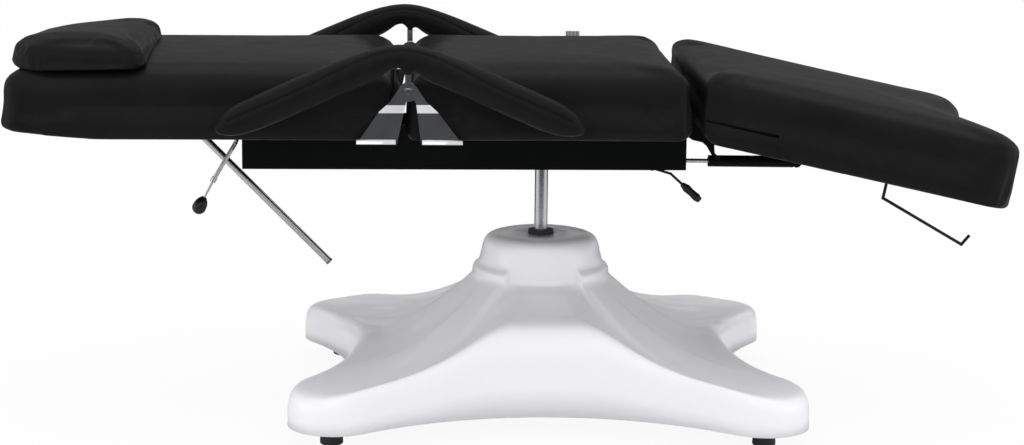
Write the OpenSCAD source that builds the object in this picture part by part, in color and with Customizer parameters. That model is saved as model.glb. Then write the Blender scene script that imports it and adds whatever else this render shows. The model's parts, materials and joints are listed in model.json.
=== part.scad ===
// Three-section salon treatment table on a hydraulic column.
// X runs from the head end to the foot end, Y away from the near side, Z up from the floor.
// The origin is on the floor under the middle of the table's bounding box.

/* [Pads] */
// Length of the back pad
back_len = 705; // [600:5:800]
// Length of the seat pad
seat_len = 514; // [440:1:600]
// Length of the leg pad
leg_len = 577; // [480:1:660]
// Width of all three pads
pad_w = 620; // [540:5:700]
// Thickness of the pads, board and cover included
pad_t = 122; // [90:1:150]
// Height of the pads' upper side above the floor
bed_h = 667; // [640:1:700]
// Gap between back and seat, in which the hinge line lies
back_gap = 15; // [12:1:24]
// Gap between seat and leg pad at the leg hinge
leg_gap = 8; // [6:1:12]
// Slope of the leg pad as it stands, in degrees
leg_tilt = 12.6; // [0:0.1:20]
// Radius of the soft upper edges
shoulder_r = 32; // [20:1:34]
// Radius of the leg pad's upper edges
leg_shoulder_r = 24; // [16:1:30]
// Rise of the pads' upper side towards the middle
pad_crown = 7; // [0:1:12]
// Amount by which the long sides draw in between the corners
side_draw = 4; // [0:1:10]
// Depth of the hollow in the foot end
foot_scallop = 52; // [20:1:80]

/* [Pillow] */
// Length of the pillow along the table
pillow_len = 244; // [200:2:300]
// Width of the pillow across the table
pillow_w = 500; // [400:5:520]
// Mean thickness of the pillow at its edge
pillow_t = 42; // [30:1:60]
// Rise of the pillow towards its middle
pillow_crown = 14; // [5:1:30]

/* [Armrests] */
// Width of an armrest pad
arm_w = 58; // [45:1:70]
// Thickness of an armrest pad
arm_t = 59; // [40:1:65]
// Reach of an armrest towards the head end, from its peak
arm_head_reach = 323; // [260:2:360]
// Reach of an armrest towards the foot end, from its peak
arm_foot_reach = 319; // [260:2:360]
// Fall of an armrest from its peak to its tips
arm_fall = 122; // [80:1:150]

/* [Steelwork] */
// Thickness of the hinge plates and their cross bars
plate_t = 3; // [2:0.5:4]
// Radius of the round ear at the back hinge
ear_r = 17; // [14:0.5:20]
// Height of the back hinge under the pads' upper side
hinge_drop = 32; // [30:0.5:36]
// Diameter of the back hinge bolts
hinge_bolt_d = 10; // [8:1:12]
// Width of the channel under the seat
channel_w = 160; // [130:2:190]
// Height of the channel
channel_h = 84; // [70:1:90]
// Wall of the channel
channel_wall = 3; // [2:0.5:4]
// Reach of the channel beyond the back hinge
channel_head = 311.5; // [290:0.5:340]
// Diameter of the leg hinge pin
leg_pin_d = 10; // [8:1:12]
// Diameter of a gas spring's cylinder
stay_tube_d = 22; // [18:1:24]
// Diameter of a gas spring's rod
stay_rod_d = 8; // [6:1:10]
// Diameter of the pins that hold the gas springs
stay_pin_d = 8; // [6:1:8]

/* [Column and base] */
// Diameter of the lift rod
rod_d = 25; // [22:1:30]
// Outer diameter of the hydraulic cylinder
pump_d = 60; // [50:1:70]
// Height of the base shell at its neck
base_h = 322; // [300:1:328]
// Radius of the neck's upper rim
neck_r = 110; // [100:1:115]
// Distance of a leg lobe's centre from the column, along X
lobe_x = 383; // [340:1:400]
// Distance of a leg lobe's centre from the column, along Y
lobe_y = 335; // [290:5:350]
// Radius of a leg lobe
lobe_r = 85; // [75:1:95]
// Half length of the base at its waist
waist_x = 360; // [330:2:375]
// Half width of the base at its waist
waist_y = 287; // [250:1:300]
// Height of the leg lobes' upper edge
leg_top_h = 105; // [95:1:140]
// Wall of the base shell
shell_t = 4; // [3:0.5:6]
// Height of the rubber feet
foot_h = 36; // [26:1:40]
// Diameter of the rubber feet
foot_d = 42; // [34:1:50]

/* [Hidden] */

// Running clearance of a shaft in its bore, on the radius
fit = 0.05;
// Clearance between a soft pad and what lies next to it
soft_gap = 0.3;
// Overrun of a cut past the faces that it opens
cut = 1;
// Sides of a round hole or shaft
round_n = 48;

// Board under each pad: thickness, and how far it stands back from the pad's sides
board_t = 12;
board_inset = 26;
// Rounded lower edge of a pad, and the larger rounding at the seat and leg hinge
pad_foot_r = 10;
hinge_round_r = 28;
// Plan radii of the pads' corners
back_head_corner = 42;
back_hip_corner = 20;
seat_foot_corner = 30;
leg_knee_corner = 14;
leg_foot_corner = 58;
least_corner = 8;
// Rise of the back pad's underside at the head end, and the length over which it rises
head_rise = 20;
head_rise_len = 185;

pad_bottom = bed_h - pad_t;

// Places along X, from the head end to the foot end
foot_arm_h = pad_t - leg_shoulder_r;
hinge_x_to_foot = leg_gap / 2 + leg_len - leg_shoulder_r;
// Height of the leg hinge under the pads' underside
leg_hinge_drop = 6;
foot_reach = hinge_x_to_foot * cos(leg_tilt)
    + (foot_arm_h + leg_hinge_drop) * sin(leg_tilt) + leg_shoulder_r;
span = back_len + back_gap + seat_len + leg_gap / 2 + foot_reach;
head_x = -span / 2;
back_end_x = head_x + back_len;
seat_x = back_end_x + back_gap;
seat_end_x = seat_x + seat_len;
leg_hinge_x = seat_end_x + leg_gap / 2;
leg_hinge_z = pad_bottom - leg_hinge_drop;
post_x = seat_x + seat_len / 2;

// Back hinge: a little to the foot side of the gap's middle
hinge_shift = 12;
hinge_x = seat_x - back_gap / 2 + hinge_shift;
hinge_z = bed_h - hinge_drop;

// Channel under the seat, held by the rails between it and the boards
rail_t = 4;
channel_top = pad_bottom - rail_t;
channel_bottom = channel_top - channel_h;
channel_tail = 5;
channel_end_x = leg_hinge_x + channel_tail;
channel_x = hinge_x - channel_head;
channel_len = channel_end_x - channel_x;

// Outline, as a ring of points, of a pad whose edges lie d inside its full size
// corners are the plan radii at head and foot, scallop is the depth of the foot end's hollow
corner_steps = 5;
long_steps = 6;
end_steps = 8;
function pad_corner(cx, cy, r, from) =
    [for (i = [0:corner_steps]) let (a = from + 90 * i / corner_steps) [cx + r * cos(a), cy + r * sin(a)]];
function pad_ring(len, w, head_r, foot_r, d, draw, scallop) =
    let (
        hy = w / 2 - d, x0 = d, x1 = len - d,
        ra = max(head_r - d, least_corner), rb = max(foot_r - d, least_corner)
    )
    concat(
        [for (i = [1:long_steps - 1]) let (t = i / long_steps)
            [x0 + ra + (x1 - rb - x0 - ra) * t, -hy + draw * sin(180 * t)]],
        pad_corner(x1 - rb, rb - hy, rb, -90),
        [for (i = [1:end_steps - 1]) let (t = i / end_steps)
            [x1 - scallop * pow(sin(180 * t), 2), (hy - rb) * (2 * t - 1)]],
        pad_corner(x1 - rb, hy - rb, rb, 0),
        [for (i = [1:long_steps - 1]) let (t = i / long_steps)
            [x1 - rb + (x0 + ra - x1 + rb) * t, hy - draw * sin(180 * t)]],
        pad_corner(x0 + ra, hy - ra, ra, 90),
        [for (i = [1:end_steps - 1]) let (t = i / end_steps) [x0, (hy - ra) * (1 - 2 * t)]],
        pad_corner(x0 + ra, ra - hy, ra, 180)
    );

// Side profile of a pad as [distance inside the edge, height]: foot radius, wall, shoulder, crown
foot_steps = 2;
shoulder_steps = 4;
crown_shares = [[0.12, 0.3], [0.32, 0.65], [0.6, 0.9], [0.86, 1]];
function pad_profile(w, t, foot_r, top_r, crown) = concat(
    [for (i = [0:foot_steps]) let (a = 90 * i / foot_steps) [foot_r * (1 - sin(a)), foot_r * (1 - cos(a))]],
    [[0, (foot_r + t - top_r) / 2]],
    [for (i = [0:shoulder_steps]) let (a = 90 * i / shoulder_steps)
        [top_r * (1 - cos(a)), t - top_r + top_r * sin(a)]],
    [for (s = crown_shares) [top_r + (w / 2 - top_r) * s[0], t + crown * s[1]]]
);

// Faces of a stack of rings: walls between rings, then a fan at each end or a wall from last to first
function wall_faces(rings, n) = [for (k = [0:rings - 2], i = [0:n - 1]) let (j = (i + 1) % n)
    each [[k * n + i, (k + 1) * n + i, (k + 1) * n + j], [k * n + i, (k + 1) * n + j, k * n + j]]];
function fan_faces(rings, n) = [for (i = [0:n - 1]) let (j = (i + 1) % n)
    each [[i, j, rings * n], [(rings - 1) * n + j, (rings - 1) * n + i, rings * n + 1]]];
function closing_faces(rings, n) = [for (i = [0:n - 1]) let (j = (i + 1) % n, k = (rings - 1) * n)
    each [[k + i, i, j], [k + i, j, k + j]]];

// How far the underside lifts at x: rounding towards an end at distance e, or the head end's slope
function end_lift(e, r) = e >= r ? 0 : r - sqrt(r * r - (r - max(e, 0)) * (r - max(e, 0)));
function fade(z, t) = z >= t ? 0 : pow(1 - z / t, 1.5);
// The leg pad's hinge end leans over, so that it stands upright beside the seat while the leg slopes
leg_bevel_share = 0.25;
leg_bevel_len = 150;
// Thickness of the pillow at its corners: near head, near foot, far head and far foot
pillow_corner_shares = [1.12, 0.8, 0.45, 0.95];
// Its far corner at the head end is cut off in a wide curve
pillow_cut_share = 0.6;
pillow_cut_from_share = 0.17;
function pillow_cut(q, len, w) = let (b = max(0, (q[1] / w - pillow_cut_from_share) / (1 / 2 - pillow_cut_from_share)))
    pillow_cut_share * (len - q[0]) * (1 - sqrt(1 - min(1, b * b)));
function shear(q, z, kind) = kind == "leg" ? leg_bevel_share * z * max(0, 1 - q[0] / leg_bevel_len) : 0;
function swell(q, len, w, kind) = kind == "pillow"
    ? let (c = pillow_corner_shares, t = (q[0] + pillow_cut(q, len, w)) / len, far = q[1] / w + 1 / 2)
        (c[0] + (c[1] - c[0]) * t) * (1 - far) + (c[2] + (c[3] - c[2]) * pow(t, 1.5)) * far : 1;

// A pad from x = 0 to len, standing on z = 0; kind picks the shape of its underside
module pad(len, w, t, head_r, foot_r, foot_edge, top_r, crown, draw, scallop, kind) {
    profile = pad_profile(min(len, w), t, foot_edge, top_r, crown);
    n = len(pad_ring(len, w, head_r, foot_r, 0, draw, scallop));
    flat = [for (p = profile) each [for (q = pad_ring(len, w, head_r, foot_r, p[0], draw, scallop))
        [q[0], q[1], p[1]]]];
    ends = [[len / 2, 0, 0], [len / 2, 0, t + crown]];
    points = [for (p = concat(flat, ends)) [
        p[0] - shear(p, p[2], kind) + (kind == "pillow" ? pillow_cut(p, len, w) : 0), p[1],
        p[2] * swell(p, len, w, kind) + fade(p[2], t - top_r) * (
        kind == "back" ? head_rise * pow(max(0, 1 - p[0] / head_rise_len), 1.5)
        : kind == "seat" ? end_lift(len - p[0], hinge_round_r)
        : kind == "leg" ? end_lift(p[0], hinge_round_r) : 0)]];
    polyhedron(points, concat(wall_faces(len(profile), n), fan_faces(len(profile), n)), convexity = 6);
}

// Everything on the leg section is drawn flat and turned down about the leg hinge
module leg_pose() {
    translate([leg_hinge_x, 0, leg_hinge_z]) rotate([0, leg_tilt, 0])
        translate([-leg_hinge_x, 0, -leg_hinge_z]) children();
}

module board(x0, x1) {
    translate([x0, -pad_w / 2 + board_inset, pad_bottom])
        cube([x1 - x0, pad_w - 2 * board_inset, board_t]);
}
module board_pocket(x0, x1) {
    translate([x0 - soft_gap, -pad_w / 2 + board_inset - soft_gap, pad_bottom - cut])
        cube([x1 - x0 + 2 * soft_gap, pad_w - 2 * board_inset + 2 * soft_gap, board_t + cut + soft_gap]);
}
back_board_x = [head_x + head_rise_len, back_end_x - board_inset];
seat_board_x = [seat_x + board_inset, seat_end_x - hinge_round_r - board_inset / 2];
leg_board_x = [leg_hinge_x + hinge_round_r + board_inset, leg_hinge_x + leg_len - foot_scallop - 2 * board_inset];

// Upholstery
module back_cushion() {
    color([0.05, 0.05, 0.055]) difference() {
        translate([head_x, 0, pad_bottom]) pad(back_len, pad_w, pad_t, back_head_corner, back_hip_corner,
            pad_foot_r, shoulder_r, pad_crown, side_draw, 0, "back");
        board_pocket(back_board_x[0], back_board_x[1]);
    }
}
module seat_cushion() {
    color([0.05, 0.05, 0.055]) difference() {
        translate([seat_x, 0, pad_bottom]) pad(seat_len, pad_w, pad_t, back_hip_corner, seat_foot_corner,
            pad_foot_r, shoulder_r, pad_crown, side_draw, 0, "seat");
        board_pocket(seat_board_x[0], seat_board_x[1]);
    }
}
// Sewn slit in the leg pad's near side, along the pad
slit_x = 8;
slit_len = 132;
slit_h = 5;
slit_depth = 16;
slit_rise = 42;
module leg_cushion() {
    color([0.05, 0.05, 0.055]) leg_pose() difference() {
        translate([leg_hinge_x + leg_gap / 2, 0, pad_bottom]) pad(leg_len, pad_w, pad_t, leg_knee_corner,
            leg_foot_corner, pad_foot_r, leg_shoulder_r, pad_crown, side_draw, foot_scallop, "leg");
        board_pocket(leg_board_x[0], leg_board_x[1]);
        translate([leg_hinge_x + slit_x, -pad_w / 2 - cut, pad_bottom + slit_rise])
            cube([slit_len, slit_depth + cut, slit_h]);
    }
}
// Where the pillow lies: from the head end, and towards the near side
pillow_inset = 8;
pillow_x = head_x + pillow_inset;
pillow_shift = 45;
pillow_top_r_share = 0.45;
pillow_foot_r_share = 0.3;
pillow_head_corner_share = 0.3;
pillow_foot_corner_share = 0.22;
module pillow() {
    color([0.06, 0.06, 0.065]) translate([pillow_x, -pillow_shift, bed_h + pad_crown + soft_gap])
        pad(pillow_len, pillow_w, pillow_t,
            pillow_len * pillow_head_corner_share, pillow_len * pillow_foot_corner_share,
            pillow_t * pillow_foot_r_share, pillow_t * pillow_top_r_share, pillow_crown, side_draw, 0, "pillow");
}
module back_board() { color("tan") board(back_board_x[0], back_board_x[1]); }
module seat_board() { color("tan") board(seat_board_x[0], seat_board_x[1]); }
module leg_board() { color("tan") leg_pose() board(leg_board_x[0], leg_board_x[1]); }

// Small folded pull tab in the seat's far upper seam
tab_place_share = 0.6187;
tab_len = 28;
tab_h = 51;
tab_t = 2;
tab_rise = 9;
tab_draw_share = 0.66;
module pull_tab() {
    color("silver") translate([seat_x + seat_len * tab_place_share, pad_w / 2 - side_draw * tab_draw_share, bed_h + tab_rise - tab_h])
        cube([tab_len, tab_t, tab_h]);
}

// Armrest: a padded arch. Rings of a rounded section ride on a curve from tip to tip
arm_y = pad_w / 2 + 22 + arm_w / 2;
arm_peak_x = hinge_x - hinge_shift;
arm_rings = 24;
arm_sides = 16;
arm_peak_r_share = 0.16;
// Height of the centre line under the peak, at a share u of the reach: straight flanks, round peak
function arm_drop(u) = let (a = abs(u), b = arm_peak_r_share)
    arm_fall * ((sqrt(a * a + b * b) - b) / (sqrt(1 + b * b) - b));
// Thickness share towards the tips
function arm_taper(u) = abs(u) < 0.8 ? 1 : sqrt(max(0, 1 - pow((abs(u) - 0.8) / 0.2, 2)));
arm_squareness = 0.62;
function arm_square(v) = sign(v) * pow(abs(v), arm_squareness);
arm_rise = 29;
arm_peak_z = bed_h + arm_rise;
// Depth of the hollow under the peak, and its width as a share of the reach
arm_arch = 16;
arm_arch_share = 0.12;
function arm_stations() = [for (i = [0:arm_rings]) let (u = 2 * i / arm_rings - 1)
    sign(u) * (1 - pow(1 - abs(u), 1.35))];
function arm_centre(u) = [arm_peak_x + (u < 0 ? arm_head_reach : arm_foot_reach) * u, arm_peak_z - arm_drop(u)];
least_tip_share = 0.3;
function arm_thick(u) = max(least_tip_share, arm_taper(u));
// Point of the arch at u, h above its centre line
function arm_point(u, h) = let (
        c = arm_centre(u), a = arm_centre(u - 0.01), b = arm_centre(u + 0.01), f = (b - a) / norm(b - a))
    [c[0] - f[1] * h, c[1] + f[0] * h];
// Height of the section's edge over the centre line, at v from -1 below to 1 above
function arm_edge(u, v) = arm_square(v)
    * (arm_t / 2 * arm_thick(u) - (v < 0 ? arm_arch * exp(-pow(u / arm_arch_share, 2)) : 0));
arm_under = [for (u = arm_stations()) arm_point(u, arm_edge(u, -sin(90 - 180 / arm_sides)))];
module arm_pad(side) {
    us = arm_stations();
    rings = [for (u = us) each [for (i = [0:arm_sides - 1]) let (
            t = 360 * (i + 0.5) / arm_sides, q = arm_point(u, arm_edge(u, sin(t))))
        [q[0], side * arm_y + arm_w / 2 * (arm_thick(u) + 1) / 2 * arm_square(cos(t)), q[1]]]];
    ends = [[arm_centre(-1)[0], side * arm_y, arm_centre(-1)[1]], [arm_centre(1)[0], side * arm_y, arm_centre(1)[1]]];
    polyhedron(concat(rings, ends),
        concat(wall_faces(arm_rings + 1, arm_sides), fan_faces(arm_rings + 1, arm_sides)), convexity = 4);
}
module armrest_near() { color([0.05, 0.05, 0.055]) arm_pad(-1); }
module armrest_far() { color([0.05, 0.05, 0.055]) arm_pad(1); }

// Back hinge. Layers outwards from the pad's side: seat ear, back ear, armrest eye, bolt head
plate_gap = 2;
layer_gap = 0.5;
lower_y = pad_w / 2 + plate_gap;
seat_ear_y = lower_y + plate_t;
back_ear_y = seat_ear_y + plate_t + layer_gap;
arm_eye_y = back_ear_y + plate_t + layer_gap;
arm_eye_t = 4;
bolt_head_y = arm_eye_y + arm_eye_t + layer_gap;
bolt_head_t = 5;
bolt_head_r = 7;
// The joggle, in which a plate steps outwards, between two heights over the plate's foot
joggle_low = 56;
joggle_high = 71;
// Inner edge at the waist, inner and outer end of the foot, measured from the hinge: seat, then back
seat_plate = [14, 23, 97];
back_plate = [4, 20, 92];
function plate_of(side) = side > 0 ? seat_plate : back_plate;
waist_drop = 20;
ear_side_x = 15;
belly_x = 51;
belly_drop = 35;
// Side outline of one hinge plate with its ear, mirrored for the back by side = -1
module ear_outline(side) {
    foot_z = channel_top - hinge_z;
    xs = side * plate_of(side);
    circle(r = ear_r, $fn = round_n);
    polygon([[xs[0], -waist_drop], [xs[1], foot_z], [xs[2], foot_z], [side * belly_x, -belly_drop],
        [side * (ear_side_x + ear_r), -ear_r], [side * ear_side_x, ear_r / 2], [0, 0]]);
}
// Section of a joggled plate and its cross bar, as seen along X, for y > 0
module yoke_section(ear_y, lift) {
    z0 = channel_top;
    polygon([
        [0, z0 + lift], [lower_y + plate_t, z0 + lift], [lower_y + plate_t, z0 + joggle_low],
        [ear_y + plate_t, z0 + joggle_high], [ear_y + plate_t, hinge_z + ear_r + cut],
        [ear_y, hinge_z + ear_r + cut], [ear_y, z0 + joggle_high], [lower_y, z0 + joggle_low],
        [lower_y, z0 + rail_t], [0, z0 + rail_t]
    ]);
}
module yoke(side, ear_y, lift) {
    difference() {
        for (m = [0, 1]) mirror([0, m, 0]) intersection() {
            translate([hinge_x, 0, hinge_z]) rotate([90, 0, 0])
                linear_extrude(2 * pad_w, center = true) ear_outline(side);
            translate([hinge_x - pad_w / 2, 0, 0]) rotate([90, 0, 90])
                linear_extrude(pad_w) yoke_section(ear_y, lift);
        }
        translate([hinge_x, 0, hinge_z]) rotate([90, 0, 0])
            cylinder(d = hinge_bolt_d + 2 * fit, h = 2 * pad_w, center = true, $fn = round_n);
        yoke_holes(side);
    }
}
// Bolts that hold the cross bars to the boards
bar_bolt_d = 6;
bar_head_r = 5.5;
bar_head_t = 4;
bar_bolt_y = [-230, -130, 130, 230];
function bar_bolt_x(side) = hinge_x + side * (plate_of(side)[1] + plate_of(side)[2]) / 2;
module yoke_holes(side) {
    for (y = bar_bolt_y) translate([bar_bolt_x(side), y, channel_top - cut])
        cylinder(d = bar_bolt_d + 2 * fit, h = rail_t + 2 * cut, $fn = round_n);
}
module bar_bolt() {
    translate([0, 0, -bar_head_t]) cylinder(r = bar_head_r, h = bar_head_t, $fn = 6);
    cylinder(d = bar_bolt_d, h = rail_t, $fn = round_n);
}
module seat_yoke() { color("gainsboro") yoke(1, seat_ear_y, 0); }
module back_yoke() { color("gainsboro") yoke(-1, back_ear_y, layer_gap); }
module seat_bolts() {
    color("silver") for (y = bar_bolt_y) {
        translate([bar_bolt_x(1), y, channel_top]) bar_bolt();
        translate([rail_x + rail_w / 2, y, channel_top]) bar_bolt();
    }
}
module back_bolts() {
    color("silver") for (y = bar_bolt_y) translate([bar_bolt_x(-1), y, channel_top]) bar_bolt();
}
module hinge_bolts() {
    color("silver") for (s = [-1, 1]) translate([hinge_x, 0, hinge_z]) rotate([90 * s, 0, 0]) {
        translate([0, 0, seat_ear_y - plate_gap])
            cylinder(d = hinge_bolt_d, h = bolt_head_y - seat_ear_y + plate_gap, $fn = round_n);
        translate([0, 0, bolt_head_y]) difference() {
            cylinder(r = bolt_head_r, h = bolt_head_t, $fn = round_n);
            translate([0, 0, bolt_head_t / 2]) cylinder(d = hinge_bolt_d / 2, h = bolt_head_t, $fn = 6);
        }
    }
}

// Armrest bracket: an eye on the hinge bolt, an upright and a shelf under the pad
arm_shelf_t = 4;
arm_eye_d = 19;
arm_upright_w = 11;
arm_shelf_z = min([for (s = [-1, 1]) lookup(hinge_x + s * arm_upright_w / 2, arm_under)])
    - soft_gap - arm_shelf_t;
module armrest_bracket(side) {
    color("gainsboro") translate([hinge_x, 0, 0]) {
        translate([0, side * (arm_eye_y + arm_eye_t / 2), hinge_z]) rotate([90, 0, 0]) difference() {
            union() {
                cylinder(d = arm_eye_d, h = arm_eye_t, center = true, $fn = round_n);
                translate([-arm_upright_w / 2, 0, -arm_eye_t / 2])
                    cube([arm_upright_w, arm_shelf_z - hinge_z, arm_eye_t]);
            }
            cylinder(d = hinge_bolt_d + 2 * fit, h = 2 * arm_eye_t, center = true, $fn = round_n);
        }
        translate([-arm_upright_w / 2, side > 0 ? arm_eye_y : -arm_eye_y - arm_w, arm_shelf_z])
            cube([arm_upright_w, arm_w, arm_shelf_t]);
    }
}
module armrest_bracket_near() { armrest_bracket(-1); }
module armrest_bracket_far() { armrest_bracket(1); }

// Channel: open above, open at both ends, with a slot for the leg spring and ears for the leg hinge
slot_w = 44;
slot_len = 92;
channel_ear_r = 12;
module channel() {
    color([0.09, 0.09, 0.1]) difference() {
        union() {
            translate([channel_x, -channel_w / 2, channel_bottom])
                cube([channel_len, channel_w, channel_wall]);
            for (s = [-1, 1]) translate([0, s * (channel_w - channel_wall) / 2, 0]) rotate([90, 0, 0])
                linear_extrude(channel_wall, center = true) {
                    translate([channel_x, channel_bottom]) square([channel_len, channel_h]);
                    translate([leg_hinge_x, leg_hinge_z]) circle(r = channel_ear_r, $fn = round_n);
                }
        }
        translate([channel_end_x - slot_len, -slot_w / 2, channel_bottom - cut])
            cube([slot_len + cut, slot_w, channel_wall + 2 * cut]);
        translate([post_x, 0, channel_bottom - cut])
            cylinder(d = spigot_d + 2 * fit, h = channel_wall + 2 * cut, $fn = round_n);
        translate([leg_hinge_x, 0, leg_hinge_z]) rotate([90, 0, 0])
            cylinder(d = leg_pin_d + 2 * fit, h = 2 * channel_w, center = true, $fn = round_n);
        for (p = [[back_stay_x, back_stay_z], [leg_stay_x, leg_stay_z]])
            translate([p[0], 0, p[1]]) rotate([90, 0, 0])
                cylinder(d = stay_pin_d + 2 * fit, h = 2 * channel_w, center = true, $fn = round_n);
    }
}
rail_w = 50;
rail_back = 130;
rail_x = seat_end_x - rail_back;
rail_len = 540;
module seat_rail() {
    color([0.09, 0.09, 0.1]) difference() {
        translate([rail_x, -rail_len / 2, channel_top]) cube([rail_w, rail_len, rail_t]);
        for (y = bar_bolt_y) translate([rail_x + rail_w / 2, y, channel_top - cut])
            cylinder(d = bar_bolt_d + 2 * fit, h = rail_t + 2 * cut, $fn = round_n);
    }
}

// Gas springs. Each is pinned in the channel and reaches a lug on the pad that it holds
back_pin_reach = 58;
back_pin_h = 42;
back_lug_reach = 300;
back_lug_h = 62;
leg_pin_back = 60;
leg_pin_h = 6;
back_stay_x = hinge_x - back_pin_reach;
back_stay_z = channel_bottom + back_pin_h;
back_lug_x = hinge_x - back_lug_reach;
back_lug_z = channel_bottom + back_lug_h;
leg_stay_x = channel_end_x - leg_pin_back;
leg_stay_z = channel_bottom + leg_pin_h;
leg_lug_reach = 222;
leg_lug_drop = 78;
leg_lug_x = leg_hinge_x + leg_lug_reach;
leg_lug_z = leg_hinge_z - leg_lug_drop;
stay_eye_r = 11;
stay_eye_t = 14;
leg_eye_r = 9;
// A body that points along X from p towards q
module along(p, q) {
    translate([p[0], 0, p[1]]) rotate([0, -atan2(q[1] - p[1], q[0] - p[0]), 0]) children();
}
module eye(r, t, bore) {
    rotate([90, 0, 0]) difference() {
        cylinder(r = r, h = t, center = true, $fn = round_n);
        cylinder(d = bore, h = 2 * t, center = true, $fn = round_n);
    }
}
back_a = [back_stay_x, back_stay_z];
back_b = [back_lug_x, back_lug_z];
back_reach = norm(back_b - back_a);
back_tube_len = 196;
leg_a = [leg_stay_x, leg_stay_z];
leg_b = [leg_lug_x, leg_lug_z];
leg_reach = norm(leg_b - leg_a);
leg_tube_len = 162;
module back_stay_cylinder() {
    color([0.1, 0.1, 0.1]) along(back_a, back_b) {
        difference() {
            translate([stay_eye_r / 2, 0, 0]) rotate([0, 90, 0])
                cylinder(d = stay_tube_d, h = back_tube_len, $fn = round_n);
            translate([stay_eye_r * 2, 0, 0]) rotate([0, 90, 0])
                cylinder(d = stay_rod_d + 2 * fit, h = back_tube_len, $fn = round_n);
            rotate([90, 0, 0]) cylinder(r = stay_eye_r + cut, h = 2 * stay_tube_d, center = true, $fn = round_n);
        }
        eye(stay_eye_r + cut, stay_eye_t, stay_pin_d + 2 * fit);
    }
}
module back_stay_rod() {
    color("gainsboro") along(back_a, back_b) translate([stay_eye_r * 2 + 2, 0, 0]) rotate([0, 90, 0])
        cylinder(d = stay_rod_d, h = back_reach - stay_eye_r * 2 - 2 - head_len / 2, $fn = round_n);
}
// Release head: a block with the eye, and two cheeks with a pin on which the release lever hangs
head_len = 30;
head_w = 20;
lever_d = 8;
lever_pin_d = 4;
lever_eye_r = 4.5;
lever_eye_t = 8;
cheek_t = 3;
cheek_gap = 0.3;
// Distance of the lever's pin from the face that carries its cheeks
lever_out = lever_eye_r + layer_gap;
// Pin of the back lever off the head's end, and of the leg lever under the head, from the head's eye
back_lever_pin = [head_len / 2 + lever_out, lever_pin_d];
leg_lever_pin = [lever_pin_d, -head_w / 2 - lever_out];
module release_head(pin, bore) {
    // Root of the cheeks: the point of the block next to the pin
    root = [min(pin[0], head_len / 2 - lever_eye_r), max(pin[1], lever_eye_r - head_w / 2)];
    difference() {
        union() {
            translate([-head_len / 2, -head_w / 2, -head_w / 2]) cube([head_len, head_w, head_w]);
            for (s = [-1, 1]) translate([0, s * (lever_eye_t / 2 + cheek_gap + cheek_t / 2), 0]) rotate([90, 0, 0])
                linear_extrude(cheek_t, center = true) hull() {
                    translate(pin) circle(r = lever_eye_r, $fn = round_n);
                    translate(root) circle(r = lever_eye_r, $fn = round_n);
                }
        }
        rotate([90, 0, 0]) cylinder(d = bore, h = 2 * head_w, center = true, $fn = round_n);
    }
    translate([pin[0], 0, pin[1]]) rotate([90, 0, 0])
        cylinder(d = lever_pin_d, h = lever_eye_t + 2 * cheek_gap + cheek_t, center = true, $fn = round_n);
}
// Point at d along the line from p to q and h beside it
function beside(p, q, d, h) = let (f = (q - p) / norm(q - p)) p + [f[0] * d - f[1] * h, f[1] * d + f[0] * h];
// A lever's bar and its eye, from the pin through the points
module lever(pin, points, d) {
    start = pin + (points[0] - pin) / norm(points[0] - pin) * (lever_eye_r - layer_gap);
    bar(concat([start], points), d, 0);
    translate([pin[0], 0, pin[1]]) eye(lever_eye_r, lever_eye_t, lever_pin_d + 2 * fit);
}
module back_release_head() {
    color("gray") along(back_a, back_b) translate([back_reach, 0, 0]) release_head(back_lever_pin, stay_pin_d);
}
leg_rod_len = 188;
module leg_release_head() {
    color("gray") along(leg_a, leg_b) release_head(leg_lever_pin, stay_pin_d + 2 * fit);
}
module leg_stay_rod() {
    color("gainsboro") along(leg_a, leg_b) translate([head_len / 2, 0, 0]) rotate([0, 90, 0])
        cylinder(d = stay_rod_d, h = leg_rod_len, $fn = round_n);
}
module leg_stay_cylinder() {
    color([0.1, 0.1, 0.1]) along(leg_a, leg_b) {
        difference() {
            translate([leg_reach - leg_eye_r / 2 - leg_tube_len, 0, 0]) rotate([0, 90, 0])
                cylinder(d = stay_tube_d, h = leg_tube_len, $fn = round_n);
            translate([leg_reach - leg_eye_r / 2 - leg_tube_len - cut, 0, 0]) rotate([0, 90, 0])
                cylinder(d = stay_rod_d + 2 * fit, h = leg_tube_len - stay_eye_r * 2, $fn = round_n);
            translate([leg_reach, 0, 0]) rotate([90, 0, 0])
                cylinder(r = leg_eye_r, h = 2 * stay_tube_d, center = true, $fn = round_n);
        }
        translate([leg_reach, 0, 0]) eye(leg_eye_r, stay_eye_t, stay_pin_d);
    }
}
module cross_pin(p) {
    color([0.09, 0.09, 0.1]) translate([p[0], 0, p[1]]) rotate([90, 0, 0])
        cylinder(d = stay_pin_d, h = channel_w + 2 * layer_gap, center = true, $fn = round_n);
}
module back_stay_pin() { cross_pin(back_a); }
module leg_stay_pin() { cross_pin(leg_a); }
module leg_hinge_pin() {
    color("silver") translate([leg_hinge_x, 0, leg_hinge_z]) rotate([90, 0, 0])
        cylinder(d = leg_pin_d, h = channel_w + 6 * leg_arm_t, center = true, $fn = round_n);
}

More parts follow.
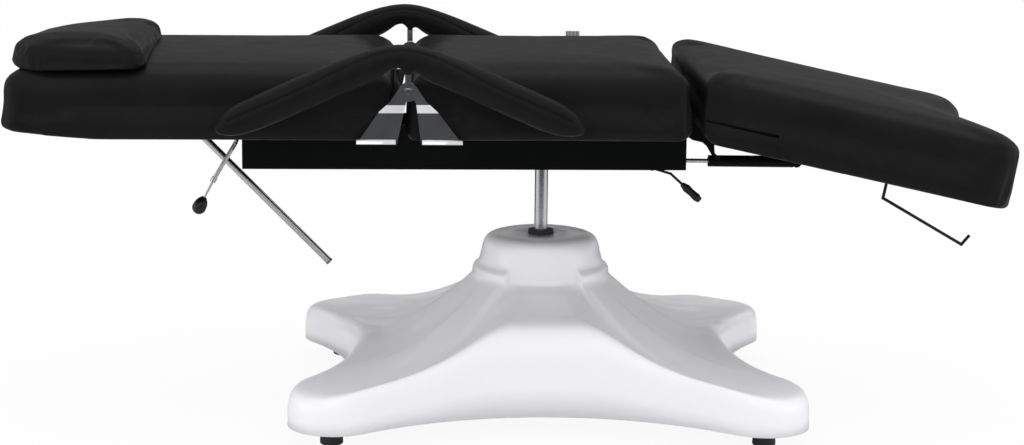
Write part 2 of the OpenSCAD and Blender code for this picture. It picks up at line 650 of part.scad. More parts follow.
// Lug: two cheeks of radius r and a pin under a board, at p
lug_t = 4;
lug_r = 12;
lug_inside = 24;
lug_foot = 46;
module lug(p, r) {
    difference() {
        union() {
            for (s = [-1, 1]) translate([0, s * (lug_inside + lug_t) / 2, 0]) rotate([90, 0, 0])
                linear_extrude(lug_t, center = true) hull() {
                    translate(p) circle(r = r, $fn = round_n);
                    translate([p[0] - lug_foot / 2, pad_bottom - lug_t]) square([lug_foot, lug_t]);
                }
            translate([p[0] - lug_foot / 2, -lug_foot, pad_bottom - lug_t])
                cube([lug_foot, 2 * lug_foot, lug_t]);
        }
    }
    for (s = [-1, 1]) translate([p[0], s * (lug_inside / 2 + lug_t + stud_head_t / 2), p[1]]) rotate([90, 0, 0])
        cylinder(d = stay_pin_d, h = stud_head_t, center = true, $fn = round_n);
}
stud_head_t = 3;
module back_stay_lug() { color([0.09, 0.09, 0.1]) lug(back_b, lug_r); }

// Leg section's steel frame: two arms on the hinge pin that run on under the board
leg_arm_t = 6;
leg_arm_h = 20;
leg_arm_len = 330;
leg_arm_y = channel_w / 2 + layer_gap;
leg_bar_back = 40;
leg_bar_x = leg_board_x[0] + leg_bar_back;
// Hooked cheek of each arm, as it stands, from the hinge
leg_cheek = [[8, -15], [27, -18], [42, -36], [52, -53], [64, -63], [68, -59], [57, -48], [55, -24], [52, -14], [20, -6]];
function turned(p, a) = [leg_hinge_x + (p[0] - leg_hinge_x) * cos(a) - (p[1] - leg_hinge_z) * sin(a),
    leg_hinge_z + (p[0] - leg_hinge_x) * sin(a) + (p[1] - leg_hinge_z) * cos(a)];
module leg_frame() {
    color([0.09, 0.09, 0.1]) leg_pose() difference() {
        union() {
            for (s = [-1, 1]) translate([0, s * (leg_arm_y + leg_arm_t / 2), 0]) rotate([90, 0, 0])
                linear_extrude(leg_arm_t, center = true) difference() {
                    union() {
                        translate([leg_hinge_x, leg_hinge_z]) circle(r = channel_ear_r, $fn = round_n);
                        polygon([[leg_hinge_x, leg_hinge_z - channel_ear_r],
                            [leg_hinge_x + leg_arm_h, leg_hinge_z - leg_arm_h],
                            [leg_hinge_x + leg_arm_len - leg_arm_h, leg_hinge_z - leg_arm_h],
                            [leg_hinge_x + leg_arm_len, pad_bottom - rail_t], [leg_hinge_x + leg_arm_len, pad_bottom],
                            [leg_board_x[0] - board_inset / 2, pad_bottom],
                            [leg_hinge_x, leg_hinge_z + channel_ear_r / 2]]);
                        polygon([for (p = leg_cheek) turned([leg_hinge_x + p[0], leg_hinge_z + p[1]], leg_tilt)]);
                    }
                    translate([leg_hinge_x, leg_hinge_z]) circle(d = leg_pin_d + 2 * fit, $fn = round_n);
                }
            for (x = [leg_bar_x, leg_hinge_x + leg_arm_len - rail_w])
                translate([x, -leg_arm_y, pad_bottom - rail_t]) cube([rail_w / 2, 2 * leg_arm_y, rail_t]);
        }
    }
}
leg_b_flat = turned(leg_b, leg_tilt);
module leg_stay_lug() { color([0.09, 0.09, 0.1]) leg_pose() lug(leg_b_flat, leg_eye_r); }
leg_bolt_y = [-60, 60];
module leg_bolts() {
    color("silver") leg_pose() for (x = [leg_bar_x, leg_hinge_x + leg_arm_len - rail_w], y = leg_bolt_y)
        translate([x + rail_w / 4, y, pad_bottom - rail_t - bar_head_t])
            cylinder(r = bar_head_r, h = bar_head_t, $fn = 6);
}

// Extra diameter of the ball at a bend of a bar
knuckle = 0.6;
// A round bar through points of the XZ plane at y, as one chain of cylinders with ball joints
module bar(points, d, y) {
    translate([0, y, 0]) {
        for (i = [0:len(points) - 2]) let (p = points[i], q = points[i + 1])
            translate([p[0], 0, p[1]]) rotate([0, 90 - atan2(q[1] - p[1], q[0] - p[0]), 0])
                cylinder(d = d, h = norm(q - p), $fn = round_n / 2);
        for (i = [1:1:len(points) - 2])
            translate([points[i][0], 0, points[i][1]]) sphere(d = d + knuckle, $fn = round_n / 2);
    }
}

// Wire hook under the foot end, drawn in the leg's own slope
wire_d = 6;
wire_y = 0;
wire_reach = 412;
wire_x = leg_hinge_x + wire_reach;
wire_drop = 65;
wire_len = 182;
wire_fall = 54;
wire_tip = 21;
wire_foot_r = 14;
module wire_hook() {
    color([0.07, 0.07, 0.07]) leg_pose() {
        bar([[wire_x, pad_bottom - rail_t], [wire_x + wire_d / 3, pad_bottom - wire_drop],
            [wire_x + wire_len - wire_tip / 2, pad_bottom - wire_drop - wire_fall],
            [wire_x + wire_len, pad_bottom - wire_drop - wire_fall + wire_tip]], wire_d, wire_y);
        translate([wire_x, wire_y, pad_bottom - rail_t]) cylinder(r = wire_foot_r, h = rail_t, $fn = round_n);
    }
}

// Back release lever: rod, ferrule, thinner rod, and the knob on its end
back_lever_reach = [30, 72, 90];
back_lever_drop = [26, 96, 130];
back_lever_top = [back_lug_x - back_lever_reach[0], back_lug_z - back_lever_drop[0]];
back_lever_mid = [back_lug_x - back_lever_reach[1], back_lug_z - back_lever_drop[1]];
back_lever_end = [back_lug_x - back_lever_reach[2], back_lug_z - back_lever_drop[2]];
back_lever_thin = 5;
ferrule_d = 11;
ferrule_len = 10;
knob_len = 36;
knob_d = 27;
module back_release_lever() {
    color("gainsboro") {
        lever(beside(back_a, back_b, back_reach + back_lever_pin[0], back_lever_pin[1]),
            [back_lever_top, back_lever_mid], lever_d);
        bar([back_lever_mid, back_lever_end], back_lever_thin, 0);
        along_drop(back_lever_top, back_lever_mid) translate([0, 0, -ferrule_len / 2])
            cylinder(d = ferrule_d, h = ferrule_len, $fn = round_n);
    }
}
// Frame whose Z axis runs on from q, in the direction from p to q
module along_drop(p, q) {
    translate([q[0], 0, q[1]]) rotate([0, 90 - atan2(q[1] - p[1], q[0] - p[0]), 0]) children();
}
knob_neck_share = 0.34;
knob_belly_share = 0.62;
module back_release_knob() {
    color([0.07, 0.07, 0.07]) along_drop(back_lever_mid, back_lever_end) rotate_extrude($fn = round_n)
        polygon(concat([[0, 0], [knob_d * knob_neck_share / 2, 0]],
            [for (a = [-50:14:90]) [knob_d / 2 * cos(a), knob_len * knob_belly_share
                + (a < 0 ? knob_len * knob_belly_share : knob_len * (1 - knob_belly_share)) * sin(a)]],
            [[0, knob_len]]));
}

// Leg release lever: hangs from the release head through the channel's slot
leg_lever_reach = [40, 62, 96];
leg_lever_drop = [26, 46, 78];
leg_lever_top = [leg_stay_x + leg_lever_reach[0], leg_stay_z - leg_lever_drop[0]];
leg_lever_mid = [leg_stay_x + leg_lever_reach[1], leg_stay_z - leg_lever_drop[1]];
leg_lever_end = [leg_stay_x + leg_lever_reach[2], leg_stay_z - leg_lever_drop[2]];
grip_d = 16;
grip_neck_d = 9;
module leg_release_lever() {
    color([0.2, 0.2, 0.2]) lever(beside(leg_a, leg_b, leg_lever_pin[0], leg_lever_pin[1]),
        [leg_lever_top, leg_lever_mid], back_lever_thin);
}
module leg_release_grip() {
    color([0.07, 0.07, 0.07]) along_drop(leg_lever_top, leg_lever_mid) {
        len_grip = norm(leg_lever_end - leg_lever_mid);
        rotate_extrude($fn = round_n) polygon([[0, 0], [grip_neck_d / 2, 0], [grip_d / 2, len_grip / 4],
            [grip_d / 2 - 1, len_grip / 2], [grip_d / 2, len_grip - grip_d / 2], [grip_d / 3, len_grip], [0, len_grip]]);
    }
}

// Tube arm under the head end, on a lug of its own
tube_d = 14;
tube_y = 150;
tube_reach = [150, 140];
tube_drop = [16, 310];
tube_top = [back_lug_x - tube_reach[0], pad_bottom - tube_drop[0]];
tube_end = [back_lug_x + tube_reach[1], pad_bottom - tube_drop[1]];
tube_bore = 11;
tube_lug_t = 4;
tube_lug_foot = 50;
module tube_arm() {
    color("gainsboro") translate([tube_top[0], tube_y, tube_top[1]])
        rotate([0, 90 - atan2(tube_end[1] - tube_top[1], tube_end[0] - tube_top[0]), 0]) {
            difference() {
                union() {
                    cylinder(d = tube_d, h = norm(tube_end - tube_top), $fn = round_n);
                    rotate([90, 0, 0]) cylinder(r = tube_d / 2 + 2, h = tube_d, center = true, $fn = round_n);
                }
                translate([0, 0, tube_d * 2]) cylinder(d = tube_bore, h = norm(tube_end - tube_top), $fn = round_n);
                rotate([90, 0, 0]) cylinder(d = stay_pin_d + 2 * fit, h = 2 * tube_d, center = true, $fn = round_n);
            }
        }
}
plug_len = 14;
plug_rim = 4;
module tube_arm_plug() {
    color("gray") along_at(tube_top, tube_end) {
        translate([0, 0, -plug_len]) cylinder(d = tube_bore - 2 * fit, h = plug_len, $fn = round_n);
        difference() {
            cylinder(d = tube_d + 1, h = plug_rim, $fn = round_n);
            translate([0, 0, plug_rim / 2]) cylinder(d = tube_bore / 2, h = plug_rim, $fn = round_n);
        }
    }
}
module along_at(p, q) {
    translate([q[0], tube_y, q[1]]) rotate([0, 90 - atan2(q[1] - p[1], q[0] - p[0]), 0]) children();
}
module tube_arm_lug() {
    color("gray") translate([0, tube_y, 0]) {
        translate([tube_top[0] - tube_lug_foot / 2, -tube_lug_foot / 2, pad_bottom - tube_lug_t / 2])
            cube([tube_lug_foot, tube_lug_foot, tube_lug_t / 2]);
        for (s = [-1, 1]) translate([0, s * (tube_d + tube_lug_t + layer_gap) / 2, 0]) rotate([90, 0, 0])
            linear_extrude(tube_lug_t, center = true) hull() {
                translate(tube_top) circle(r = tube_d / 2 + 2, $fn = round_n);
                translate([tube_top[0] - tube_d, pad_bottom - tube_lug_t]) square([2 * tube_d, tube_lug_t / 2]);
            }
        translate([tube_top[0], 0, tube_top[1]]) rotate([90, 0, 0])
            cylinder(d = stay_pin_d, h = tube_d + 2 * tube_lug_t, center = true, $fn = round_n);
    }
}

// Lift rod, its washer and the hub in the channel
spigot_d = 18;
washer_t = 4;
washer_d = 34;
hub_d = 44;
hub_flange_d = 110;
hub_h = 50;
hub_flange_t = 6;
// Height of the steel cross in the base and of the pump block on it, and the rod's way down
frame_h = 20;
block_h = 24;
lift_down = 62;
rod_bottom = foot_h + frame_h + 2 + block_h + lift_down;
rod_top = channel_bottom - washer_t;
module lift_rod() {
    color("silver") {
        translate([post_x, 0, rod_bottom]) cylinder(d = rod_d, h = rod_top - rod_bottom, $fn = round_n);
        translate([post_x, 0, rod_top])
            cylinder(d = spigot_d, h = washer_t + channel_wall + hub_h - hub_flange_t, $fn = round_n);
    }
}
module thrust_washer() {
    color("dimgray") translate([post_x, 0, rod_top]) difference() {
        cylinder(d = washer_d, h = washer_t, $fn = round_n);
        translate([0, 0, -cut]) cylinder(d = spigot_d + 2 * fit, h = washer_t + 2 * cut, $fn = round_n);
    }
}
module swivel_hub() {
    color([0.09, 0.09, 0.1]) translate([post_x, 0, channel_bottom + channel_wall]) difference() {
        union() {
            cylinder(d = hub_flange_d, h = hub_flange_t, $fn = round_n);
            cylinder(d = hub_d, h = hub_h, $fn = round_n);
        }
        translate([0, 0, -cut]) cylinder(d = spigot_d + 2 * fit, h = hub_h - hub_flange_t + cut + fit,
            $fn = round_n);
    }
}

// Hydraulic cylinder and pump block inside the base, on the steel cross
tube_floor = 12;
pump_foot = foot_h + frame_h + 2;
pump_top = base_h - shell_t - soft_gap;
module pump_tube() {
    color("dimgray") translate([post_x, 0, pump_foot + block_h]) difference() {
        cylinder(d = pump_d, h = pump_top - pump_foot - block_h, $fn = round_n);
        translate([0, 0, tube_floor - block_h]) cylinder(d = rod_d + 2 * fit, h = base_h, $fn = round_n);
    }
}
block_w = 110;
module pump_block() {
    color("dimgray") translate([post_x, 0, pump_foot]) difference() {
        union() {
            translate([-block_w / 2, -block_w / 2, 0]) cube([block_w, block_w, block_h]);
            for (s = [-1, 1]) translate([s * (pedal_w + pedal_ear_t + layer_gap) / 2, block_w / 2, 0])
                rotate([90, 0, 90]) linear_extrude(pedal_ear_t, center = true) hull() {
                    translate([-pedal_ear_r, 0]) square([pedal_ear_r, block_h]);
                    translate([pedal_pivot_out, pedal_pivot_up]) circle(r = pedal_ear_r, $fn = round_n);
                }
        }
        translate([0, block_w / 2 + pedal_pivot_out, pedal_pivot_up]) rotate([0, 90, 0])
            cylinder(d = stay_pin_d + 2 * fit, h = block_w, center = true, $fn = round_n);
    }
}
pedal_w = 24;
pedal_t = 8;
pedal_ear_t = 6;
pedal_ear_r = 10;
pedal_pivot_out = 22;
pedal_pivot_up = 14;
module pedal_pin() {
    color("silver") translate([post_x, block_w / 2 + pedal_pivot_out, pump_foot + pedal_pivot_up])
        rotate([0, 90, 0]) cylinder(d = stay_pin_d, h = pedal_w + 2 * pedal_ear_t + 4 * layer_gap,
            center = true, $fn = round_n);
}
// Pedal lever: from its pin out through the notch in the shell's far skirt
pedal_y0 = block_w / 2 + pedal_pivot_out;
pedal_z0 = pump_foot + pedal_pivot_up;
pedal_out_y = 348;
pedal_end_y = 402;
pedal_rise = 34;
module pedal_lever() {
    color("dimgray") difference() {
        union() {
            translate([post_x, pedal_y0, pedal_z0]) rotate([0, 90, 0])
                cylinder(r = pedal_ear_r, h = pedal_w, center = true, $fn = round_n);
            translate([post_x, 0, 0]) rotate([90, 0, 90]) linear_extrude(pedal_w, center = true)
                polygon([[pedal_y0, pedal_z0 - pedal_t / 2], [pedal_out_y - pedal_rise, pedal_z0 - pedal_t / 2],
                    [pedal_out_y, pedal_z0 + pedal_rise - pedal_t], [pedal_end_y, pedal_z0 + pedal_rise],
                    [pedal_end_y, pedal_z0 + pedal_rise + pedal_t / 2],
                    [pedal_out_y - pedal_t / 2, pedal_z0 + pedal_rise - pedal_t / 2],
                    [pedal_out_y - pedal_rise, pedal_z0 + pedal_t / 2], [pedal_y0, pedal_z0 + pedal_t / 2]]);
        }
        translate([post_x, pedal_y0, pedal_z0]) rotate([0, 90, 0])
            cylinder(d = stay_pin_d + 2 * fit, h = block_w, center = true, $fn = round_n);
    }
}
pad_rib_n = 5;
pedal_pad_w = 76;
pedal_pad_t = 10;
module pedal_pad() {
    color([0.07, 0.07, 0.07]) translate([post_x, pedal_out_y, pedal_z0 + pedal_rise]) difference() {
        translate([-pedal_pad_w / 2, 0, pedal_t / 2 + layer_gap / 2])
            cube([pedal_pad_w, pedal_end_y - pedal_out_y, pedal_pad_t]);
        for (i = [1:pad_rib_n]) translate([-pedal_pad_w / 2 - cut,
                (pedal_end_y - pedal_out_y) * i / (pad_rib_n + 1), pedal_t / 2 + pedal_pad_t])
            cube([pedal_pad_w + 2 * cut, pedal_t / 4, pedal_t / 4]);
    }
}
module rod_seal() {
    color([0.1, 0.1, 0.1]) translate([post_x, 0, base_h]) difference() {
        union() {
            cylinder(d = seal_d, h = seal_h, $fn = round_n);
            translate([0, 0, pump_top - base_h]) cylinder(d = neck_hole_d - cut, h = base_h - pump_top, $fn = round_n);
        }
        translate([0, 0, -base_h / 2]) cylinder(d = rod_d + 2 * fit, h = base_h, $fn = round_n);
    }
}
seal_d = 48;
seal_h = 7;
neck_hole_d = 36;

// Steel cross inside the base: flat tubes from the pump plate out to the feet
foot_x = 389;
foot_y = 333;
frame_w = 40;
frame_plate = 150;
stud_d = 8;
stud_len = 26;
module base_frame() {
    color([0.2, 0.2, 0.22]) translate([post_x, 0, foot_h]) difference() {
        union() {
            for (s = [-1, 1]) rotate([0, 0, s * atan2(foot_y, foot_x)])
                translate([-norm([foot_x, foot_y]) - frame_w / 2, -frame_w / 2, 0])
                    cube([2 * norm([foot_x, foot_y]) + frame_w, frame_w, frame_h]);
            translate([-frame_plate / 2, -frame_plate / 2, 0]) cube([frame_plate, frame_plate, frame_h + 2]);
        }
        for (x = [-1, 1], y = [-1, 1]) translate([x * foot_x, y * foot_y, -cut])
            cylinder(d = stud_d + 2 * fit, h = frame_h + 2 * cut, $fn = round_n);
    }
}
module at_feet() {
    for (x = [-1, 1], y = [-1, 1]) translate([post_x + x * foot_x, y * foot_y, 0]) children();
}
module rubber_feet() {
    color([0.07, 0.07, 0.07]) at_feet() rotate_extrude($fn = round_n) difference() {
        polygon([[0, 0], [foot_d / 2 - 2, 0], [foot_d / 2, 2], [foot_d / 2 - 1, foot_h], [0, foot_h]]);
        translate([0, foot_h / 2]) square([stud_d / 2 + fit, foot_h]);
    }
}
module foot_studs() {
    color("silver") at_feet() translate([0, 0, foot_h / 2]) cylinder(d = stud_d, h = stud_len, $fn = round_n);
}
post_x_out = 379;
post_y_out = 330;
post_d = 30;
post_top = leg_top_h - shell_t - soft_gap;
module shell_posts() {
    color([0.2, 0.2, 0.22]) for (x = [-1, 1], y = [-1, 1])
        translate([post_x + x * post_x_out, y * post_y_out, foot_h + frame_h])
            cylinder(d = post_d, h = post_top - foot_h - frame_h, $fn = round_n);
}

// Base shell. Plan outline: four round lobes joined by hollow arcs that touch them
function hollow_r(waist, along_x, along_y) =
    let (a = waist - along_x) (a * a + along_y * along_y - lobe_r * lobe_r) / (2 * (lobe_r - a));
end_r = hollow_r(waist_x, lobe_x, lobe_y);
side_r = hollow_r(waist_y, lobe_y, lobe_x);
end_c = waist_x + end_r;
side_c = waist_y + side_r;
end_a = atan2(lobe_y, end_c - lobe_x);
side_a = atan2(lobe_x, side_c - lobe_y);
end_n = 5;
lobe_n = 7;
side_n = 6;
quarter = concat(
    [for (i = [0:end_n - 1]) let (a = end_a * i / end_n) [end_c - end_r * cos(a), end_r * sin(a)]],
    [for (i = [0:lobe_n]) let (a = -end_a + (end_a + 90 + side_a) * i / lobe_n)
        [lobe_x + lobe_r * cos(a), lobe_y + lobe_r * sin(a)]],
    [for (i = [1:side_n]) let (a = side_a * (1 - i / side_n)) [side_r * sin(a), side_c - side_r * cos(a)]]
);
half = concat(quarter, [for (i = [len(quarter) - 2:-1:1]) [-quarter[i][0], quarter[i][1]]]);
outline = concat(half, [for (p = half) -p]);

// How much a direction belongs to a leg, from 0 at a waist to 1 on the leg's own line
leg_dir = atan2(lobe_y, lobe_x);
function first_quarter(p) = atan2(abs(p[1]), abs(p[0]));
// The long sides stay high over side_flat degrees, then fall to the legs over side_fall degrees
side_flat = 14;
side_fall = 33;
function legness(p) = let (a = first_quarter(p), s = a < leg_dir ? a / leg_dir : (90 - a - side_flat) / side_fall)
    (1 - cos(180 * min(1, max(0, s)))) / 2;
function sideness(p) = first_quarter(p) < leg_dir ? 0 : 1;

// Skirt: its upper edge is highest on the long sides' middle, where it meets the neck's apron
skirt_low = foot_h;
end_top_h = 130;
side_top_h = 206;
leg_lean = 16;
end_lean = 20;
side_lean = 50;
edge_r = 32;
function mix(a, b, w) = a + (b - a) * w;
function skirt_top(p) = mix(mix(end_top_h, side_top_h, sideness(p)), leg_top_h, legness(p));
function skirt_lean(p) = mix(mix(end_lean, side_lean, sideness(p)), leg_lean, legness(p));
skirt_angles = [0, 22, 42, 58, 71, 81, 90];
skirt_round = 0.55;
// Apron from the skirt's edge up to the neck
apron_shares = [0.86, 0.7, 0.54, 0.4, 0.27, 0.16, 0.07, 0];
apron_foot_r = 131;
apron_foot_h = 243;
function apron_power(p) = mix(mix(1.4, 1.5, sideness(p)), 2.5, legness(p));
// Neck tiers as [radius, height] and how far each is pressed in at the front and back panels
panel_half_angle = 33;
panel_press = 12;
tier = [[130, 252, panel_press], [127, 262, 10], [119, 269, 2.5], [116, 276, 0], [112, 292, 0],
    [neck_r, base_h - 20, 0], [neck_r - 5, base_h - 9, 0], [neck_r - 12, base_h - 3, 0], [neck_r - 22, base_h, 0],
    [neck_hole_d / 2, base_h, 0]];
function pressed(p) = let (a = 90 - first_quarter(p)) a < panel_half_angle ? 1 : 0;
function shell_column(p, t) = let (
        r0 = norm(p), top = skirt_top(p) - t, lean = skirt_lean(p), r1 = r0 - lean - edge_r,
        foot_r = apron_foot_r - t - panel_press * pressed(p))
    concat(
        [for (a = skirt_angles) [r1 + (lean + edge_r) * pow(cos(a), skirt_round) - t * cos(a),
            skirt_low + (top - skirt_low) * pow(sin(a), skirt_round)]],
        [for (s = apron_shares) [foot_r + (r1 - foot_r) * s,
            top + (apron_foot_h - t - top) * pow(1 - s, apron_power(p))]],
        [for (q = tier) [q[0] - pressed(p) * q[2] - (q[0] > neck_hole_d / 2 ? t : 0), q[1] - t]]
    );
column_n = len(skirt_angles) + len(apron_shares) + len(tier);
pedal_notch_w = 70;
pedal_notch_h = 78;
module base_shell() {
    n = len(outline);
    outer = [for (p = outline) shell_column(p, 0)];
    inner = [for (p = outline) shell_column(p, shell_t)];
    points = concat(
        [for (k = [0:column_n - 1], i = [0:n - 1]) let (q = outer[i][k], u = outline[i] / norm(outline[i]))
            [u[0] * q[0], u[1] * q[0], q[1]]],
        [for (k = [column_n - 1:-1:0], i = [0:n - 1]) let (q = inner[i][k], u = outline[i] / norm(outline[i]))
            [u[0] * q[0], u[1] * q[0], q[1]]]
    );
    color("white") difference() {
        translate([post_x, 0, 0])
            polyhedron(points, concat(wall_faces(2 * column_n, n), closing_faces(2 * column_n, n)), convexity = 8);
        translate([post_x - pedal_notch_w / 2, waist_y / 2, 0]) cube([pedal_notch_w, waist_y, pedal_notch_h]);
    }
}

base_shell();
base_frame();
rubber_feet();
foot_studs();
shell_posts();
pump_tube();
pump_block();
rod_seal();
pedal_pin();
pedal_lever();
pedal_pad();
lift_rod();
thrust_washer();
swivel_hub();
channel();
seat_rail();
seat_yoke();
seat_bolts();
hinge_bolts();
seat_board();
seat_cushion();
pull_tab();
leg_hinge_pin();
back_stay_pin();
leg_stay_pin();
back_yoke();
back_bolts();
back_board();
back_cushion();
back_stay_lug();
tube_arm_lug();
pillow();
back_stay_cylinder();
back_stay_rod();
back_release_head();
back_release_lever();
back_release_knob();
leg_frame();
leg_board();
leg_cushion();
leg_stay_lug();
wire_hook();
leg_bolts();
leg_stay_rod();
leg_release_head();
leg_stay_cylinder();
leg_release_lever();
leg_release_grip();
tube_arm();
tube_arm_plug();
armrest_near();
armrest_bracket_near();
armrest_far();
armrest_bracket_far();
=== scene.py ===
"""Looks of a three-section salon treatment table: upholstery, base cover, small trim, light and camera.

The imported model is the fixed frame. Sizes are in metres and in the frame's own axes: X from the head end to
the foot end, Y away from the near side, Z up from the floor. The base cover alone is laid out in millimetres.
"""

from __future__ import annotations

import json
import logging
import math
from dataclasses import dataclass, field
from enum import Enum
from typing import Callable, Iterable, Sequence

import bpy
import numpy as np
from mathutils import Matrix, Vector, noise

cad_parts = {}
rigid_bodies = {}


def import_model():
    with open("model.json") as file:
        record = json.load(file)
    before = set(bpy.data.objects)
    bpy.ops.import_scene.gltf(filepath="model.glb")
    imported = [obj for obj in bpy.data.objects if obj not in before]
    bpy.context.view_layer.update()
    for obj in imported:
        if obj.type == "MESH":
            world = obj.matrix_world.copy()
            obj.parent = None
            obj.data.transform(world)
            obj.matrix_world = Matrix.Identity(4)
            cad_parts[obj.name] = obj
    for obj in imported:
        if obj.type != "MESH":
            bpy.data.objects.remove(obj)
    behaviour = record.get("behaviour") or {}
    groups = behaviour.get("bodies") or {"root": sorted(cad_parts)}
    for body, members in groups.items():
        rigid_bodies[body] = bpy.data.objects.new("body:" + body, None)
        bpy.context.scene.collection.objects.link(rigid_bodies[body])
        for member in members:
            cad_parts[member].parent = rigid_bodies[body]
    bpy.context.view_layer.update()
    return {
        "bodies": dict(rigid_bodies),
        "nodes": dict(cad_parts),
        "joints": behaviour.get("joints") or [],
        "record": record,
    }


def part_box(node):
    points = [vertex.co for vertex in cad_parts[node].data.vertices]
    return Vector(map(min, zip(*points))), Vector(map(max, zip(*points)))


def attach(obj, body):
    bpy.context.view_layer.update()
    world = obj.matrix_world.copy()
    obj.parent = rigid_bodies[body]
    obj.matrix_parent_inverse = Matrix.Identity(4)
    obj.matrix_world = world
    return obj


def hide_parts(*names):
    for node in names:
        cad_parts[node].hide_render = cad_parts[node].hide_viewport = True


LOG = logging.getLogger("treatment_table")

Pair = tuple[float, float]
Triple = tuple[float, float, float]
Socket = bpy.types.NodeSocket
Object = bpy.types.Object

# Sizes shared by several sub-assemblies, as in the part's source
PAD_WIDTH = 0.620
PAD_THICK = 0.122
BED_TOP = 0.667
PAD_BOTTOM = BED_TOP - PAD_THICK
LEG_TILT = math.radians(12.6)
BOARD_SIDE = PAD_WIDTH / 2 - 0.026
HEM = 0.006
LINING = 0.0005
BACK_HINGE = (-0.189636, 0.635)
LEG_HINGE = (0.323864, 0.539)
POST_X = 0.062864


class Underside(Enum):
    """How the underside of a pad runs out at its ends."""

    LEVEL = "level"
    HEAD_RISE = "head_rise"
    ROUND_FOOT = "round_foot"
    ROUND_HEAD = "round_head"


class Grain(Enum):
    """Kind of fine relief on a painted or moulded surface."""

    SMOOTH = "smooth"
    ORANGE_PEEL = "orange_peel"
    SAND = "sand"


class Unit(Enum):
    """What a run repeats."""

    STITCH = "stitch"
    STAPLE = "staple"


# ---------------------------------------------------------------------------------------------------------
# Finishes


def fill_inputs(tree: bpy.types.NodeTree, node: bpy.types.Node, inputs: dict) -> None:
    """Fill a node's inputs.

    Args:
        tree: The node's tree.
        node: The node.
        inputs: Input names or numbers, each with a value, or with a socket to link from.
    """
    for key, value in inputs.items():
        if isinstance(value, Socket):
            tree.links.new(value, node.inputs[key])
        else:
            node.inputs[key].default_value = value


def add_node(tree: bpy.types.NodeTree, kind: str, inputs: dict | None = None, **settings: object
             ) -> bpy.types.Node:
    """Add a node to a tree.

    Args:
        tree: The tree.
        kind: Blender's type name of the node.
        inputs: What fills its inputs, as in fill_inputs.
        **settings: The node's own properties.

    Returns:
        The new node.
    """
    node = tree.nodes.new(kind)
    for key, value in settings.items():
        setattr(node, key, value)
    fill_inputs(tree, node, inputs or {})
    return node


class NodeSheet:
    """One material's nodes: a shader, its output and the object's coordinates."""

    def __init__(self, name: str) -> None:
        """Start the material.

        Args:
            name: Name of the material.
        """
        self.material = bpy.data.materials.new(name)
        self.material.use_nodes = True
        self.tree = self.material.node_tree
        self.tree.nodes.clear()
        self.shader = self.add("ShaderNodeBsdfPrincipled")
        self.out = self.add("ShaderNodeOutputMaterial", {"Surface": self.shader.outputs[0]})
        self.coords = self.add("ShaderNodeTexCoord").outputs["Object"]

    def add(self, kind: str, inputs: dict | None = None, **settings: object) -> bpy.types.Node:
        """Add a node to this sheet, as add_node does."""
        return add_node(self.tree, kind, inputs, **settings)

    def base(self, **values: object) -> None:
        """Fill the shader's inputs; spaces in their names are written as underscores."""
        fill_inputs(self.tree, self.shader, {key.replace("_", " "): value for key, value in values.items()})

    def noise(self, scale: float, detail: float = 3.0, rough: float = 0.5, source: Socket | None = None
              ) -> Socket:
        """Noise on object coordinates.

        Args:
            scale: Waves per metre.
            detail: Octaves.
            rough: Share that each octave keeps.
            source: Coordinates in place of the object's own.

        Returns:
            The factor socket.
        """
        return self.add("ShaderNodeTexNoise", {"Vector": source or self.coords, "Scale": scale,
                                               "Detail": detail, "Roughness": rough}).outputs["Fac"]

    def cells(self, scale: float, feature: str = "F1") -> Socket:
        """Voronoi distance on object coordinates, at so many cells per metre."""
        return self.add("ShaderNodeTexVoronoi", {"Vector": self.coords, "Scale": scale},
                        feature=feature).outputs["Distance"]

    def stretched(self, scale: Triple) -> Socket:
        """Object coordinates scaled by axis, for grain that runs one way."""
        return self.add("ShaderNodeMapping", {"Vector": self.coords, "Scale": scale}).outputs["Vector"]

    def ramp(self, factor: Socket, low: float, dark: Triple, high: float, pale: Triple) -> Socket:
        """Blend of two colours.

        Args:
            factor: Input.
            low: Place up to which it is dark.
            dark: Colour there.
            high: Place from which it is pale.
            pale: Colour there.

        Returns:
            The colour socket.
        """
        node = self.add("ShaderNodeValToRGB", {"Fac": factor})
        for element, place, colour in zip(node.color_ramp.elements, (low, high), (dark, pale)):
            element.position = place
            element.color = (*colour, 1.0)
        return node.outputs["Color"]

    def spread(self, factor: Socket, low: float, high: float) -> Socket:
        """Map a factor from 0..1 to low..high."""
        return self.add("ShaderNodeMapRange", {"Value": factor, "To Min": low, "To Max": high}
                        ).outputs["Result"]

    def bump(self, height: Socket, strength: float, distance: float, under: Socket | None = None) -> Socket:
        """Bump from a height.

        Args:
            height: Height socket.
            strength: Share of the effect.
            distance: Height of one unit, in metres.
            under: Normal of a coarser bump below this one.

        Returns:
            The normal socket.
        """
        inputs = {"Height": height, "Strength": strength, "Distance": distance}
        if under is not None:
            inputs["Normal"] = under
        return self.add("ShaderNodeBump", inputs).outputs["Normal"]

    def normal(self, socket: Socket) -> bpy.types.Material:
        """Use a normal on the shader and return the finished material."""
        self.base(Normal=socket)
        return self.material


def shaded(colour: Triple, share: float) -> Triple:
    """The colour at a share of its brightness."""
    return tuple(c * share for c in colour)


@dataclass(frozen=True)
class Finish:
    """A finish with a name, which the record's material slot shares."""

    name: str

    def make(self) -> bpy.types.Material:
        """Build the material."""
        raise NotImplementedError


